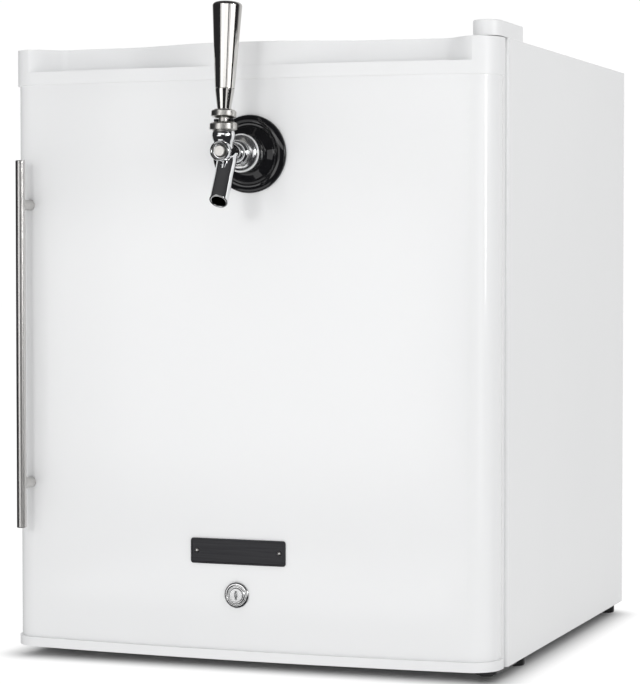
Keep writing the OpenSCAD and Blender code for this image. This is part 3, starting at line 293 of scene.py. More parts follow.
def rounded(bm, width, segments=2, sharp=35, where=None):
    """Rounds the edges that are sharper than an angle."""
    chosen = [edge for edge in ridges(bm, sharp) if where is None or where(edge)]
    bmesh.ops.bevel(bm, geom=chosen, offset=width, segments=segments, profile=0.5, affect="EDGES",
                    clamp_overlap=True, material=-1)
    return bm


def merged(node):
    """A copy of a CAD node's mesh with its triangles joined into whole faces."""
    bm = bmesh.new()
    bm.from_mesh(frame["nodes"][node].data)
    bmesh.ops.remove_doubles(bm, verts=bm.verts, dist=0.003 * mm)
    bmesh.ops.dissolve_limit(bm, angle_limit=math.radians(0.5), verts=bm.verts, edges=bm.edges)
    return bm


def softened(finish, width, *nodes, segments=2, sharp=35):
    """Copies of CAD nodes with their edges rounded, as a press or a mould leaves them."""
    for node in nodes:
        piece(node + "_finished", rounded(merged(node), width, segments, sharp), finish, node)


def panel_sweep(bm, start, turns):
    """A bent line seen from above: it starts at a point, and goes on by straight runs and by arcs."""
    last = bm.verts.new(start)
    for turn in turns:
        if len(turn) == 2:
            new = bm.verts.new((*turn, start[2]))
            bm.edges.new((last, new))
            last = new
        else:
            centre, angle, steps = turn
            swept = bmesh.ops.spin(bm, geom=[last], cent=(*centre, start[2]), axis=(0, 0, 1),
                                   angle=angle, steps=steps)
            last = swept["geom_last"][0]


def lifted(bm, grown, rise):
    """Moves what an extrusion has just made straight up."""
    new = [part for part in grown["geom"] if isinstance(part, bmesh.types.BMVert)]
    bmesh.ops.translate(bm, verts=new, vec=(0, 0, rise))


def sheet_wall(bm, rise, thickness, outwards, where=None):
    """Raises a bent line into a sheet, whose outer side looks outwards, and gives it its thickness."""
    lifted(bm, bmesh.ops.extrude_edge_only(bm, edges=list(bm.edges)), rise)
    bmesh.ops.recalc_face_normals(bm, faces=bm.faces)
    shown = [face for face in bm.faces if where is None or where(face)]
    if sum(face.normal.dot(outwards) * face.calc_area() for face in shown) < 0:
        bmesh.ops.reverse_faces(bm, faces=bm.faces)
    bmesh.ops.bevel(bm, geom=ridges(bm, 60), offset=2 * thickness, segments=4, profile=0.5, affect="EDGES",
                    material=-1)
    bmesh.ops.solidify(bm, geom=bm.faces, thickness=thickness)


side_lo, side_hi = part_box("right_side_panel")
front_fold, rear_fold, flange_w, sheet = 4 * mm, 1.5 * mm, 12 * mm, 1 * mm
quarter = math.pi / 2
for node, hand in (("right_side_panel", 1), ("left_side_panel", -1)):
    bm = bmesh.new()
    panel_sweep(bm, (side_hi.x - flange_w, side_lo.y, side_lo.z), [
        (side_hi.x - front_fold, side_lo.y),
        ((side_hi.x - front_fold, side_lo.y + front_fold), quarter, 12),
        (side_hi.x, side_hi.y - rear_fold),
        ((side_hi.x - rear_fold, side_hi.y - rear_fold), quarter, 5),
        (side_hi.x - flange_w, side_hi.y),
    ])
    sheet_wall(bm, side_hi.z - side_lo.z, sheet, Vector((1, 0, 0)))
    if hand < 0:
        bmesh.ops.scale(bm, vec=(-1, 1, 1), verts=bm.verts)
        bmesh.ops.reverse_faces(bm, faces=bm.faces)
    piece(node + "_folded", bm, white_paint, node)
softened(white_paint, 0.4 * mm, "top_panel")
dress(zinc_steel, "back_panel", "base_pan", "bay_floor_plate")
softened(zinc_steel, 0.5 * mm, "back_panel_screws")

# The insulation: rigid polyurethane foam, poured between the shell and the liner and into the door,
# where it sets. It is seen only in a section.
insulation_foam = Finish("poured_foam", "insulation_foam", Specular_IOR_Level=0.2)
cells = insulation_foam.noise(900, 3)
insulation_foam.coat(colour=insulation_foam.tones(cells, (0.62, 0.52, 0.3), (0.78, 0.7, 0.46)),
                     roughness=0.85 + 0.1 * cells, height=cells, depth=0.4 * mm)
dress(insulation_foam, "cabinet_insulation", "door_insulation")

# The cold space: a vacuum-formed white liner, a roll-bonded aluminium evaporator on its back wall,
# the thermostat's housing under the roof and the steel strike that the lock's cam drops behind.
liner_plastic = Finish("liner_polystyrene", "liner_plastic", Specular_IOR_Level=0.5)
ripple = liner_plastic.noise(14, 2)
liner_plastic.coat(colour=liner_plastic.tones(ripple, (0.8, 0.805, 0.805), (0.84, 0.843, 0.84)),
                   roughness=0.3 + 0.12 * ripple, height=ripple, depth=0.2 * mm)
softened(liner_plastic, 1.5 * mm, "inner_liner", segments=3, sharp=50)
softened(liner_plastic, 3 * mm, "thermostat_housing", segments=4)
softened(liner_plastic, 0.8 * mm, "thermostat_knob", segments=3)

plate_aluminium = Finish("rolled_aluminium", "plate_aluminium", Metallic=1.0)
rolled = plate_aluminium.noise(220, 3, (0.05, 1, 1))
plate_aluminium.coat(colour=plate_aluminium.tones(rolled, (0.68, 0.69, 0.7), (0.82, 0.83, 0.84)),
                     roughness=0.3 + 0.18 * rolled, height=rolled, depth=0.02 * mm)
softened(plate_aluminium, 1.2 * mm, "evaporator_plate", segments=3)
softened(zinc_steel, 0.5 * mm, "lock_strike")

# The machine: a black enamelled compressor pot on rubber mounts with its starter box, copper pipes
# with a dull tarnish, and a black wire-on-tube condenser that is clipped to the back.
black_paint = Finish("black_enamel", "black_paint", Specular_IOR_Level=0.5)
dapple = black_paint.noise(160, 3)
black_paint.coat(colour=black_paint.tones(dapple, (0.012, 0.012, 0.013), (0.028, 0.028, 0.03)),
                 roughness=0.34 + 0.16 * dapple, height=dapple, depth=0.06 * mm)
softened(black_paint, 1.5 * mm, "compressor", segments=3, sharp=40)
dress(black_paint, "condenser_tube", "condenser_wires")

black_rubber = Finish("black_rubber", "black_rubber", Specular_IOR_Level=0.3)
pore = black_rubber.noise(700, 2)
black_rubber.coat(colour=black_rubber.tones(pore, (0.018, 0.018, 0.018), (0.035, 0.035, 0.036)),
                  roughness=0.7 + 0.15 * pore, height=pore, depth=0.08 * mm)
softened(black_rubber, 0.8 * mm, "compressor_mounts")

black_plastic = Finish("black_moulding", "black_plastic", Specular_IOR_Level=0.5)
moulded = black_plastic.noise(500, 2)
black_plastic.coat(colour=black_plastic.tones(moulded, (0.010, 0.010, 0.011), (0.02, 0.02, 0.021)),
                   roughness=0.35 + 0.15 * moulded, height=moulded, depth=0.05 * mm)
softened(black_plastic, 2.5 * mm, "starter_box", segments=3)
softened(black_plastic, 1 * mm, "cable_gland", "condenser_clips")

copper = Finish("drawn_copper", "copper", Metallic=1.0)
tarnish = copper.noise(70, 4)
copper.coat(colour=copper.tones(tarnish, (0.36, 0.16, 0.09), (0.74, 0.4, 0.26)),
            roughness=0.26 + 0.3 * tarnish, height=tarnish, depth=0.03 * mm)
dress(copper, "filter_drier", "discharge_pipe", "suction_pipe")

# The feet: four black moulded pads. The rear pair is fixed to the base, and the front pair stands on
# threaded studs that turn in nylon sockets, so that the cabinet can be levelled.
bush_nylon = Finish("white_nylon", "bush_nylon", Specular_IOR_Level=0.4)
waxy = bush_nylon.noise(120, 2)
bush_nylon.coat(colour=bush_nylon.tones(waxy, (0.74, 0.73, 0.69), (0.82, 0.81, 0.78)),
                roughness=0.42 + 0.12 * waxy, height=waxy, depth=0.05 * mm)
dress(bush_nylon, "foot_sockets")
softened(black_plastic, 0.8 * mm, "front_foot_left", "front_foot_right", "rear_feet")

# The hinges: steel brackets and pins screwed to the cabinet, in nylon bushes in the door. The upper
# one is zinc-plated and sits under a snap-on white cover with a round nose, the lower one is black.
softened(zinc_steel, 0.4 * mm, "top_hinge_bracket", "hinge_screws")
softened(black_paint, 0.4 * mm, "bottom_hinge_bracket")
dress(zinc_steel, "top_hinge_pin")
dress(black_paint, "bottom_hinge_pin")
dress(bush_nylon, "hinge_bushes")

white_plastic = Finish("white_moulding", "white_plastic", Specular_IOR_Level=0.45)
satin = white_plastic.noise(8, 3)
white_plastic.coat(colour=white_plastic.tones(satin, (0.82, 0.825, 0.83), (0.85, 0.853, 0.856)),
                   roughness=0.3 + 0.1 * satin, height=white_plastic.noise(900, 1), depth=0.02 * mm)


def block(bm, rise):
    """Closes a bent line into an outline and raises it into a solid."""
    ends = [vert for vert in bm.verts if len(vert.link_edges) == 1]
    bm.edges.new(ends)
    base = bmesh.ops.contextual_create(bm, geom=list(bm.verts) + list(bm.edges))["faces"]
    lifted(bm, bmesh.ops.extrude_face_region(bm, geom=base), rise)
    bmesh.ops.recalc_face_normals(bm, faces=bm.faces)


cover_lo, cover_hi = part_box("hinge_cover")
cover_round, cover_wall = 1.4 * mm, 1.5 * mm
nose_r = (cover_hi.x - cover_lo.x) / 2
nose = (cover_lo.x + nose_r, cover_lo.y + nose_r)
cover = bmesh.new()
panel_sweep(cover, (cover_lo.x, cover_hi.y, cover_lo.z), [
    (cover_lo.x, nose[1]),
    (nose, math.pi, 32),
    (cover_hi.x, cover_hi.y),
])
block(cover, cover_hi.z - cover_lo.z)
underside = [face for face in cover.faces if face.normal.z < -0.9]
bmesh.ops.delete(cover, geom=underside, context="FACES_ONLY")
rounded(cover, cover_round, 4, 50)
bmesh.ops.solidify(cover, geom=cover.faces, thickness=cover_wall)
piece("hinge_cover_moulded", cover, white_plastic, "hinge_cover")

# The door skin: one sheet of white enamelled steel, bowed across its width and rolled round at both
# sides, with its edges folded in behind and holes for the tap and the lock.
skin_lo, skin_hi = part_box("door_skin")
bow, corner = 11 * mm, 24 * mm
shank_hole, lock_hole, drill_reach = 11.1, 9.1, 6
half = skin_hi.x
bow_r = (half ** 2 + bow ** 2) / (2 * bow)
bow_y = skin_lo.y + bow_r
corner_x = half - corner
corner_y = bow_y - math.sqrt((bow_r - corner) ** 2 - corner_x ** 2)
lean = math.asin(corner_x / (bow_r - corner))


def door_line(bm, out, back, low):
    """The door's outline seen from above, standing out from the skin."""
    panel_sweep(bm, (-half - out, back, low), [
        (-half - out, corner_y),
        ((-corner_x, corner_y), quarter - lean, 14),
        ((0, bow_y), 2 * lean, 60),
        ((corner_x, corner_y), quarter - lean, 14),
        (half + out, back),
    ])


def bow_at(x, out=0.0):
    """Y of the door's bowed front at x."""
    return bow_y - math.sqrt((bow_r + out) ** 2 - x ** 2)


def working(bm):
    """A shape in an object of its own, for a modifier to work on."""
    mesh = bpy.data.meshes.new("working_shape")
    bm.to_mesh(mesh)
    bm.free()
    made = bpy.data.objects.new("working_shape", mesh)
    scene.collection.objects.link(made)
    return made


def applied(made, *spent):
    """The shape that an object's modifiers give. The objects that were used for it are removed."""
    bpy.context.view_layer.update()
    done = bpy.data.meshes.new_from_object(made.evaluated_get(bpy.context.evaluated_depsgraph_get()))
    result = bmesh.new()
    result.from_mesh(done)
    for mesh in [used.data for used in (made, *spent)] + [done]:
        bpy.data.meshes.remove(mesh)
    return result


def carved(bm, tool, operation="DIFFERENCE"):
    """One shape cut from another, or joined to it."""
    stock, cutter = working(bm), working(tool)
    cut = stock.modifiers.new("cut", "BOOLEAN")
    cut.object, cut.operation, cut.solver = cutter, operation, "MANIFOLD"
    return applied(stock, cutter)


def turned(profile, place, steps=96, width=0.0):
    """A turned piece: a profile of radius and height in millimetres, spun about its axis."""
    bm = bmesh.new()
    line = [bm.verts.new((radius * mm, 0, height * mm)) for radius, height in profile]
    edges = [bm.edges.new(pair) for pair in zip(line, line[1:])]
    if profile[0][0] > 0:
        edges.append(bm.edges.new((line[-1], line[0])))
    bmesh.ops.spin(bm, geom=line + edges, cent=(0, 0, 0), axis=(0, 0, 1), angle=2 * math.pi, steps=steps,
                   use_merge=True)
    bmesh.ops.remove_doubles(bm, verts=bm.verts, dist=0.0005 * mm)
    bmesh.ops.recalc_face_normals(bm, faces=bm.faces)
    if width:
        rounded(bm, width * mm, 3, 20)
    bm.transform(place)
    return bm


def rod(radius, low, high, place, steps=96, width=0.0):
    """A plain turned bar, or the drill that makes a hole for one."""
    return turned([(0, low), (radius, low), (radius, high), (0, high)], place, steps, width)


flange_lo, flange_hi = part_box("tap_flange")
tap = Vector(((flange_lo.x + flange_hi.x) / 2, flange_hi.y, (flange_lo.z + flange_hi.z) / 2))
forward = Matrix.Rotation(quarter, 4, "X")
at_tap = Matrix.Translation(tap) @ forward
bezel_lo, bezel_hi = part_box("lock_housing")
lock = Vector(((bezel_lo.x + bezel_hi.x) / 2, skin_lo.y, (bezel_lo.z + bezel_hi.z) / 2))
at_lock = Matrix.Translation(lock) @ forward

skin = bmesh.new()
door_line(skin, 0, skin_hi.y, skin_lo.z)
for side in (-1, 1):
    edge_place = Vector((side * half, skin_hi.y, skin_lo.z))
    edge_vert = min(skin.verts, key=lambda vert: (vert.co - edge_place).length)
    tip = skin.verts.new((side * (half - flange_w), skin_hi.y, skin_lo.z))
    skin.edges.new((edge_vert, tip))
sheet_wall(skin, skin_hi.z - skin_lo.z, sheet, Vector((0, -1, 0)),
           lambda face: face.calc_center_median().y < corner_y)
for place, radius in ((at_tap, shank_hole), (at_lock, lock_hole)):
    skin = carved(skin, rod(radius, -drill_reach, drill_reach, place))
piece("door_skin_rolled", skin, white_paint, "door_skin")

# The door caps: white mouldings that close the skin at the top and the bottom, bored for the hinge
# bushes. The top one has a plain band, and above it a hand recess on each side of a soft crest.
cap_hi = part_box("door_top_cap")[1]
out = cap_hi.x - half
band, ledge_over, cutter_front = 12 * mm, 5 * mm, 30 * mm
scoop_d, scoop_end, crest_w, slope_w, close_w = 22 * mm, half - 16 * mm, 20 * mm, 100 * mm, 34 * mm
ledge = skin_hi.z + band
top_round, bottom_round, bush_bore = 1.2 * mm, 1.6 * mm, 6.6
bush_lo, bush_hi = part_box("hinge_bushes")
at_bush = Matrix.Translation(((bush_lo.x + bush_hi.x) / 2, (bush_lo.y + bush_hi.y) / 2, 0))


def scoop(x):
    """Depth of the hand recess at x: it swells out from the crest and closes in a soft curve at its end."""
    rise = min(1, max(0, (abs(x) - crest_w) / slope_w))
    close = min(1, max(0, (scoop_end - abs(x)) / close_w))
    return scoop_d * (1 - math.cos(math.pi * rise)) * (1 - math.cos(math.pi * close)) / 4


top_cap = bmesh.new()
door_line(top_cap, out, cap_hi.y, skin_hi.z)
block(top_cap, cap_hi.z - skin_hi.z)
places = [scoop_end * (i - 80) / 80 for i in range(161)]
hand_room = bmesh.new()
panel_sweep(hand_room, (-scoop_end, skin_lo.y - cutter_front, ledge),
            [(x, bow_at(x, out) + scoop(x)) for x in places] + [(scoop_end, skin_lo.y - cutter_front)])
block(hand_room, cap_hi.z - ledge + ledge_over)
top_cap = carved(top_cap, hand_room)
rounded(top_cap, top_round, 3, 40, lambda edge: max(vert.co.y for vert in edge.verts) < cap_hi.y - 1 * mm)
top_cap = carved(top_cap, rod(bush_bore, skin_hi.z / mm - 1, cap_hi.z / mm + 1, at_bush))
piece("door_top_cap_moulded", top_cap, white_plastic, "door_top_cap")

low_lo, low_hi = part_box("door_bottom_cap")
bottom_cap = bmesh.new()
door_line(bottom_cap, out, low_hi.y, low_lo.z)
block(bottom_cap, skin_lo.z - low_lo.z)
rounded(bottom_cap, bottom_round, 3, 50,
        lambda edge: max(vert.co.y for vert in edge.verts) < corner_y + 1 * mm)
bottom_cap = carved(bottom_cap, rod(bush_bore, low_lo.z / mm - 1, skin_lo.z / mm + 1, at_bush))
piece("door_bottom_cap_moulded", bottom_cap, white_plastic, "door_bottom_cap")

# The door's inside: a vacuum-formed panel that reaches into the cold space, and a soft magnetic seal
# that is pressed into a groove all round it, with a lip that fills the gap beside the cabinet.
softened(liner_plastic, 3 * mm, "door_liner", segments=3, sharp=50)

seal_rubber = Finish("seal_vinyl", "seal_rubber", Specular_IOR_Level=0.3)
bloom = seal_rubber.noise(60, 3)
seal_rubber.coat(colour=seal_rubber.tones(bloom, (0.8, 0.803, 0.806), (0.86, 0.862, 0.864)),
                 roughness=0.5 + 0.15 * bloom, height=bloom, depth=0.1 * mm)
seal_lo, seal_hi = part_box("door_gasket")
back = (seal_hi.y - seal_lo.y) / mm
inner_edge = [(-16, 0), (-16, 3), (-14.4, 3.6), (-14.2, 5), (-15.2, 5.8), (-15.4, back - 0.9),
              (-14.6, back)]
rolled_back = [(1, back), (3, back - 0.22), (5, back - 0.6), (7, back - 1.2), (9, back - 2),
               (10.2, back - 2.7)]
lip = [(10.8, back - 3.6), (10.8, -1.2), (10.5, -1.7), (10, -1.9), (6.4, -1.9), (6.4, 0)]
seal = bmesh.new()
loops = []
for out_by, back_by in inner_edge + rolled_back + lip:
    x, y = seal_hi.x + out_by * mm, seal_lo.y + back_by * mm
    low, high = seal_lo.z - out_by * mm, seal_hi.z + out_by * mm
    ring = [seal.verts.new(place) for place in ((-x, y, low), (x, y, low), (x, y, high), (-x, y, high))]
    loops.append([seal.edges.new((ring[i - 1], ring[i])) for i in range(4)])
for i in range(len(loops)):
    bmesh.ops.bridge_loops(seal, edges=loops[i - 1] + loops[i])
bmesh.ops.recalc_face_normals(seal, faces=seal.faces)
piece("door_gasket_lipped", seal, seal_rubber, "door_gasket")

# The door handle: a slim brushed stainless bar on two short posts, whose screws come from inside the
# skin, before the foam is poured.
brushed_steel = Finish("brushed_stainless", "brushed_steel", Metallic=1.0)
lines = brushed_steel.noise(1600, 2, (1, 1, 0.01))
brushed_steel.coat(colour=brushed_steel.tones(lines, (0.6, 0.59, 0.575), (0.7, 0.69, 0.675)),
                   roughness=0.24 + 0.1 * lines)
bar_lo, bar_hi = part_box("handle_bar")
bar_r = (bar_hi.x - bar_lo.x) / 2 / mm
bar_l = (bar_hi.z - bar_lo.z) / mm
bar_round = 0.8
at_bar = Matrix.Translation(((bar_lo.x + bar_hi.x) / 2, (bar_lo.y + bar_hi.y) / 2, bar_lo.z))
piece("handle_bar_brushed", rod(bar_r, 0, bar_l, at_bar, 48, bar_round), brushed_steel, "handle_bar")
softened(brushed_steel, 0.3 * mm, "handle_posts", segments=3)
dress(zinc_steel, "handle_screws")

# The nameplate: a blank strip of dark brushed metal with a fine raised border, curved to the door and
# held by two dome rivets.
dark_plate = Finish("dark_brushed_plate", "dark_plate", Metallic=1.0)
drawn = dark_plate.noise(700, 3, (0.03, 1, 1))
dark_plate.coat(colour=dark_plate.tones(drawn, (0.03, 0.03, 0.033), (0.085, 0.085, 0.09)),
                roughness=0.3 + 0.2 * drawn, height=drawn, depth=0.03 * mm)
plate_lo, plate_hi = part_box("nameplate")
plate_t, plate_corner, plate_round = 1.2 * mm, 2.5 * mm, 0.25 * mm
border_w, border_step, field_drop = 1.6 * mm, 0.25 * mm, 0.35 * mm
at_plate = Matrix.Translation(((plate_lo.x + plate_hi.x) / 2, 0, (plate_lo.z + plate_hi.z) / 2)) @ forward
plate = bmesh.new()
bmesh.ops.create_grid(plate, x_segments=24, y_segments=4, size=0.5)
bmesh.ops.scale(plate, vec=(plate_hi.x - plate_lo.x, plate_hi.z - plate_lo.z, 1), verts=plate.verts)
lifted(plate, bmesh.ops.extrude_face_region(plate, geom=list(plate.faces)), plate_t)
bmesh.ops.recalc_face_normals(plate, faces=plate.faces)
rounded(plate, plate_corner, 4, 80, lambda edge: abs(edge.verts[0].co.z - edge.verts[1].co.z) > plate_t / 2)
field = [face for face in plate.faces if face.normal.z > 0.9]
for margin, drop in ((border_w, 0), (border_step, -field_drop)):
    bmesh.ops.inset_region(plate, faces=field, thickness=margin, depth=drop, use_even_offset=True)
rounded(plate, plate_round, 2, 60)
plate.transform(at_plate)
for vert in plate.verts:
    vert.co.y += bow_at(vert.co.x)
piece("nameplate_blank", plate, dark_plate, "nameplate")


def joined(bm, *others):
    """Adds other shapes to a shape, as they are."""
    for other in others:
        spare = bpy.data.meshes.new("spare")
        other.to_mesh(spare)
        other.free()
        bm.from_mesh(spare)
        bpy.data.meshes.remove(spare)
    return bm


rivet_lo, rivet_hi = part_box("nameplate_rivets")
rivet_r = 2
rivet_profile = [(0, -2), (1.2, -2), (1.2, 0), (rivet_r, 0), (1.9, 0.35), (1.3, 0.75), (0, 0.9)]
rivets = bmesh.new()
for x in (rivet_lo.x + rivet_r * mm, rivet_hi.x - rivet_r * mm):
    at_rivet = Matrix.Translation((x, bow_at(x) - plate_t, (rivet_lo.z + rivet_hi.z) / 2)) @ forward
    joined(rivets, turned(rivet_profile, at_rivet, 32))
piece("nameplate_rivets_domed", rivets, brushed_steel, "nameplate_rivets")

# The lock: a chromed bezel and barrel through the door, held by a nut behind the skin. A plug with a
# keyway turns in it, with the steel cam on its inner end.
chrome = Finish("polished_chrome", "chrome", Metallic=1.0)
smear = chrome.noise(90, 3)
chrome.coat(colour=chrome.tones(smear, (0.78, 0.79, 0.8), (0.86, 0.865, 0.87)),
            roughness=0.035 + 0.06 * smear)
satin_chrome = Finish("satin_chrome", "chrome", Metallic=1.0)
haze = satin_chrome.noise(300, 3)
satin_chrome.coat(colour=satin_chrome.tones(haze, (0.82, 0.825, 0.83), (0.9, 0.9, 0.9)),
                  roughness=0.16 + 0.1 * haze)


def brick(size, centre):
    """A plain rectangular cutter, its size in millimetres."""
    bm = bmesh.new()
    bmesh.ops.create_cube(bm, size=1)
    bmesh.ops.scale(bm, vec=Vector(size) * mm, verts=bm.verts)
    bmesh.ops.translate(bm, verts=bm.verts, vec=centre)
    return bm


barrel_end = (bezel_hi.y - lock.y) / mm
barrel_r, plug_room = 9, 6.1
bezel_profile = [(12, 0), (12, 0.7), (11.5, 1.6), (10.4, 2.3), (9.4, 2.4), (8.7, 1.7), (8, 1.7), (7.5, 2.4),
                 (6.6, 2.4), (plug_room, 1.8)]
barrel_profile = [(plug_room, -barrel_end), (barrel_r, -barrel_end), (barrel_r, 0)]
piece("lock_housing_chromed", turned(barrel_profile + bezel_profile, at_lock, 96, 0.25), satin_chrome,
      "lock_housing")
keyway = brick((3.2, 12, 3.6), lock + Vector((0, 0, 0.4 * mm)))
plug = carved(rounded(merged("lock_plug"), 0.3 * mm), keyway)
piece("lock_plug_keyed", plug, satin_chrome, "lock_plug")
softened(zinc_steel, 0.4 * mm, "lock_nut", "lock_cam")

# The tap: a gloss black flange on the door, a plated shank through it, and a cast and chromed faucet
# that is drawn onto the shank by a domed coupling nut with a knurled rim.
gloss_black = Finish("gloss_black_flange", "black_plastic", Specular_IOR_Level=0.55)
swirl = gloss_black.noise(120, 2)
gloss_black.coat(colour=gloss_black.tones(swirl, (0.004, 0.004, 0.005), (0.009, 0.009, 0.01)),
                 roughness=0.03 + 0.04 * swirl)
flange_r = (flange_hi.x - flange_lo.x) / 2 / mm
flange_h = (flange_hi.y - flange_lo.y) / mm
flange_rim = [(shank_hole, 0), (flange_r, 0), (flange_r, 1.8), (flange_r - 0.6, 2.9), (flange_r - 1.9, 3.7),
              (flange_r - 4, 4.3), (flange_r - 6.6, 4.5)]
flange_groove = [(flange_r - 7.6, 3.6), (flange_r - 9.6, 3.5), (flange_r - 10.8, 5.2)]
flange_hub = [(20, flange_h - 1.3), (18.4, flange_h - 0.3), (17.2, flange_h), (shank_hole, flange_h)]
flange = turned(flange_rim + flange_groove + flange_hub, at_tap, 128, 0.35)
piece("tap_flange_moulded", flange, gloss_black, "tap_flange")
softened(chrome, 0.4 * mm, "tap_shank", "shank_nut", "tailpiece", "tailpiece_nut", segments=3)


def arc(radius, centre_r, centre_h, start, stop, step):
    """A round stretch of a profile, from one angle to another in degrees."""
    angles = [math.radians(angle) for angle in range(start, stop, step)]
    return [(centre_r + radius * math.cos(angle), centre_h + radius * math.sin(angle)) for angle in angles]


def knurled(bm, centre, axis, low, high, radius, depth, teeth):
    """Cuts fine teeth round a band of a turned piece."""
    turn = axis.to_track_quat("Z", "Y").inverted()
    for vert in bm.verts:
        local = turn @ (vert.co - centre)
        if low < local.z / mm < high and abs(Vector((local.x, local.y)).length / mm - radius) < 0.05:
            if round(math.atan2(local.y, local.x) / math.pi * teeth) % 2:
                local.x *= 1 - depth / radius
                local.y *= 1 - depth / radius
                vert.co = turn.inverted() @ local + centre


nut_lo, nut_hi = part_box("coupling_nut")
nut_r = (nut_hi.x - nut_lo.x) / 2 / mm
nut_0, nut_1 = (tap.y - nut_hi.y) / mm, (tap.y - nut_lo.y) / mm
dome_r, nut_teeth, nut_tooth, nut_bore, nut_web = 7.6, 72, 0.35, 10, 5
rim_r = nut_r - 0.1
nut_rim = [(shank_hole, nut_0), (nut_r - 0.8, nut_0), (rim_r, nut_0 + 0.8), (rim_r, nut_0 + 4),
           (nut_r - 0.9, nut_0 + 4.5), (nut_r, nut_0 + 5.2)]
nut_dome = arc(dome_r, nut_r - dome_r, nut_1 - dome_r, 0, 85, 6)
nut_inside = [(nut_bore, nut_1), (nut_bore, nut_1 - nut_web), (shank_hole, nut_1 - nut_web)]
nut = turned(nut_rim + nut_dome + nut_inside, at_tap, 2 * nut_teeth)
knurled(nut, tap, Vector((0, -1, 0)), nut_0 + 0.7, nut_0 + 4.1, rim_r, nut_tooth, nut_teeth)
piece("coupling_nut_domed", nut, satin_chrome, "coupling_nut")

joints = {joint["name"]: joint for joint in frame["joints"]}
pivot = Vector(joints["tap_lever_tilt"]["pos_m"])
lever_u = (tap.y - pivot.y) / mm
pivot_h = (pivot.z - tap.z) / mm
nose_u = lever_u + 10
root_u = nut_1 + 0.4
valve_u = (tap.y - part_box("faucet_body")[1].y) / mm
upright = Matrix.Translation(tap - Vector((0, lever_u * mm, 0)))
spout_lean, spout_u, spout_l, spout_r, spout_bore = math.radians(28), 50, 50, 8.3, 6.4
spout_turn = Matrix.Rotation(math.pi - spout_lean, 4, "X")
at_spout = Matrix.Translation(tap - Vector((0, spout_u * mm, 0))) @ spout_turn

collar = [(0, root_u - 9), (8.6, root_u - 9), (8.6, root_u), (10.6, root_u), (10.8, root_u + 0.8),
          (10.6, root_u + 2.6), (9.2, root_u + 3.4), (8.2, root_u + 5)]
shaft = [(8.2, lever_u - 6), (8.4, lever_u + 3), (9, lever_u + 5), (9, nose_u - 3), (0, nose_u - 3)]
barrel = turned(collar + shaft, at_tap, 96)
neck = turned([(0, -2), (8, -2), (8.2, 4), (8.6, 7), (9.8, 10), (10.5, 13), (10.4, 15.5), (9.8, 17.4),
               (9.2, 18), (0, 18)], upright, 96)
root = turned([(0, -4), (7, -4), (8.4, 3), (8.7, 10), (8.5, 17), (spout_r, 24), (spout_r, 30), (0, 30)],
              at_spout, 96)
faucet = carved(carved(barrel, neck, "UNION"), root, "UNION")

seat_room = [(0, valve_u - 1), (7.2, valve_u - 1), (7.2, valve_u + 14.9), (4.6, valve_u + 14.9),
             (4.6, valve_u + 19), (5.8, valve_u + 19)]
guide_room = [(5.8, lever_u - 10), (5.5, lever_u - 10), (5.5, nose_u + 1), (0, nose_u + 1)]
faucet = carved(faucet, turned(seat_room + guide_room, at_tap, 64))
lever_bore, neck_top = 6.4, 20
faucet = carved(faucet, rod(lever_bore, 0, neck_top, upright, 64))
finger_room = [(0, -19.2), (1.8, -18.9), (2.8, -17.4), (2.9, -16), (2.6, -14.2), (2.3, -13), (2.3, -5),
               (0, -5)]
for tilt in range(-5, 28, 4):
    at_tilt = Matrix.Translation(pivot) @ Matrix.Rotation(math.radians(tilt), 4, "X")
    faucet = carved(faucet, turned(finger_room, at_tilt, 32))

casting = working(faucet)
remesh = casting.modifiers.new("cast", "REMESH")
remesh.mode, remesh.voxel_size = "VOXEL", 0.35 * mm
polish = casting.modifiers.new("polish", "SMOOTH")
polish.factor, polish.iterations = 0.5, 14
faucet = applied(casting)


def sliced(bm, point, way):
    """Cuts away what lies beyond a plane, and gives the edges of the cut."""
    whole = bm.verts[:] + bm.edges[:] + bm.faces[:]
    cut = bmesh.ops.bisect_plane(bm, geom=whole, plane_co=point, plane_no=way, clear_outer=True)
    return [edge for edge in cut["geom_cut"] if isinstance(edge, bmesh.types.BMEdge)]


mouth_lean, mouth_round, polish_rise = math.radians(12), 0.6 * mm, 0.03
tube_r = spout_r + polish_rise
mouth = at_spout @ Vector((0, 0, spout_l * mm))
mouth_way = at_spout.to_3x3() @ Vector((0, math.sin(mouth_lean), math.cos(mouth_lean)))
tube_profile = [(spout_bore, 22), (tube_r, 22), (tube_r, spout_l + 5), (spout_bore, spout_l + 5)]
tube = turned(tube_profile, at_spout, 96)
bmesh.ops.bridge_loops(tube, edges=sliced(tube, mouth, mouth_way))
rounded(tube, mouth_round, 3, 50,
        lambda edge: all(abs((vert.co - mouth).dot(mouth_way)) < 0.01 * mm for vert in edge.verts))
bmesh.ops.recalc_face_normals(tube, faces=tube.faces)
nose_ring = turned([(6.6, lever_u + 6), (9.04, lever_u + 6), (9.04, nose_u - 0.9), (8.6, nose_u - 0.2),
                    (8, nose_u), (7.4, nose_u - 0.25), (6.9, nose_u - 1), (6.6, nose_u - 2)], at_tap, 96)
piece("faucet_body_cast", joined(faucet, tube, nose_ring), chrome, "faucet_body", crease=40)

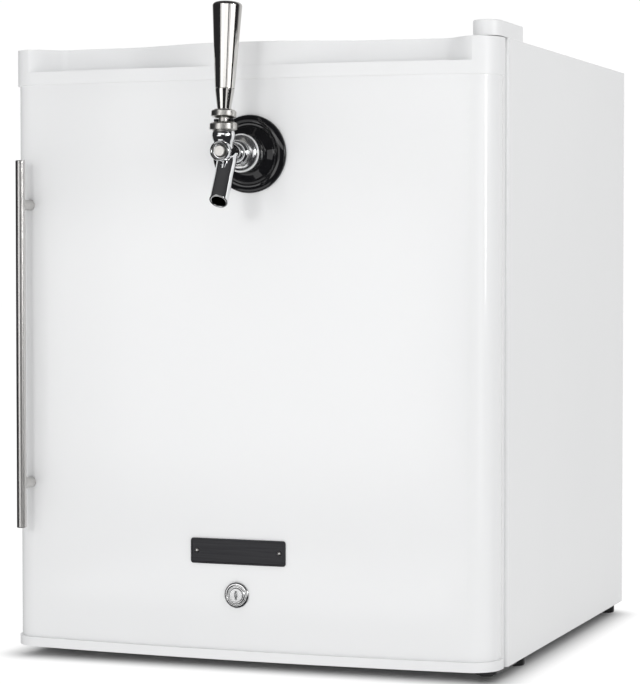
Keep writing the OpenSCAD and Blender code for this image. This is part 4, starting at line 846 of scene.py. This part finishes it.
# The lever and its collar: a knurled bonnet ring that holds the ball over a half washer of rubber, a
# knurled ferrule above it, and the plunger whose round end shows in the nose of the faucet.
satin_nickel = Finish("satin_nickel", "chrome", Metallic=1.0)
matt = satin_nickel.noise(800, 2)
satin_nickel.coat(colour=satin_nickel.tones(matt, (0.66, 0.645, 0.615), (0.78, 0.765, 0.735)),
                  roughness=0.24 + 0.16 * matt, height=matt, depth=0.03 * mm)
teeth, tooth = 60, 0.3
bonnet_r, bonnet_0, bonnet_1 = 12, 18.1, 25.7
bonnet_rim = [(0, bonnet_0), (10.4, bonnet_0), (11.6, 18.7), (bonnet_r, 19.2), (bonnet_r, 23.7)]
bonnet_top = [(11.7, 24.1), (10.6, 24.7), (9.4, 25.4), (8.8, bonnet_1), (0, bonnet_1)]
bonnet = turned(bonnet_rim + bonnet_top, upright, 2 * teeth)
knurled(bonnet, upright.translation, Vector((0, 0, 1)), 19, 23.9, bonnet_r, tooth, teeth)
ball_room = [(0, 12), (6.1, 12), (6.1, 23.5), (4.8, 24.5), (4.8, 30), (0, 30)]
bonnet = carved(bonnet, turned(ball_room, upright, 64))
notch = brick((10.4, 9.6, 10), upright.translation + Vector((0, -4.8 * mm, (pivot_h + 6) * mm)))
piece("faucet_bonnet_knurled", carved(bonnet, notch), satin_nickel, "faucet_bonnet")

washer = turned([(5.7, bonnet_1), (9.4, bonnet_1), (9.2, 27.6), (8.6, 28.2), (5.7, 28.2)], upright, 64)
washer_front = upright.translation + Vector((0, 0.5 * mm, 0))
bmesh.ops.holes_fill(washer, edges=sliced(washer, washer_front, (0, -1, 0)))
piece("lever_washer_moulded", washer, black_rubber, body="door")

at_lever = Matrix.Translation(pivot) @ Matrix.Rotation(math.radians(-5), 4, "X")
up_lever = (at_lever.to_3x3() @ Vector((0, 0, 1))).normalized()
finger_r, finger_h, ball_r, ferrule_r, stud_r, stud_top = 2.4, -16, 5.5, 11, 3.4, 30
finger = [(0, finger_h - finger_r)] + arc(finger_r, 0, finger_h, -80, 41, 12) + [(1.8, -14.2), (1.8, -5.6)]
ball = arc(ball_r, 0, 0, -70, 51, 6)
stem = [(stud_r, 4.6), (4.7, 6.4), (4.7, 9.9)]
ferrule = [(8.6, 10.3), (9.8, 10.5), (10.7, 11.1), (ferrule_r, 11.6), (ferrule_r, 15.4), (10.9, 15.6),
           (10, 16.6), (9.2, 17)]
stud = [(stud_r, 17), (stud_r, stud_top), (0, stud_top)]
lever = turned(finger + ball + stem + ferrule + stud, at_lever, 2 * teeth)
knurled(lever, pivot, up_lever, 11.5, 15.5, ferrule_r, tooth, teeth)
piece("tap_lever_turned", lever, satin_nickel, "tap_lever")

plunger_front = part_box("tap_plunger")[0].y
plunger = rounded(merged("tap_plunger"), 0.3 * mm, 2, 35,
                  lambda edge: edge.verts[0].co.y > plunger_front + 1 * mm)
rounded(plunger, 0.9 * mm, 2, 60,
        lambda edge: max(vert.co.y for vert in edge.verts) < plunger_front + 0.05 * mm)
piece("tap_plunger_finished", plunger, satin_nickel, "tap_plunger")

# The tap handle: a long tapered grip turned from steel and polished, with a conical foot, bored to
# screw onto the lever's stud.
polished_steel = Finish("polished_steel", "brushed_steel", Metallic=1.0)
sheen = polished_steel.noise(500, 3, (1, 1, 0.03))
polished_steel.coat(colour=polished_steel.tones(sheen, (0.58, 0.565, 0.545), (0.7, 0.685, 0.665)),
                    roughness=0.06 + 0.06 * sheen, height=sheen, depth=0.01 * mm)
grip_z, grip_l, grip_r, crown_r, socket_r, socket_l = 17.1, 94, 13, 3, 3.6, 14.2
foot = [(0, 0), (5.6, 0), (6, 0.5), (8.6, 17.7), (8.35, 18), (8.35, 18.3), (8.7, 18.6)]
crown = arc(crown_r, grip_r - crown_r, grip_l - crown_r, 0, 91, 10) + [(0, grip_l)]
grip = turned([(radius, height + grip_z) for radius, height in foot + crown], at_lever, 96)
grip = carved(grip, rod(socket_r, grip_z - 1, grip_z + socket_l, at_lever, 48))
piece("tap_handle_turned", grip, polished_steel, "tap_handle")
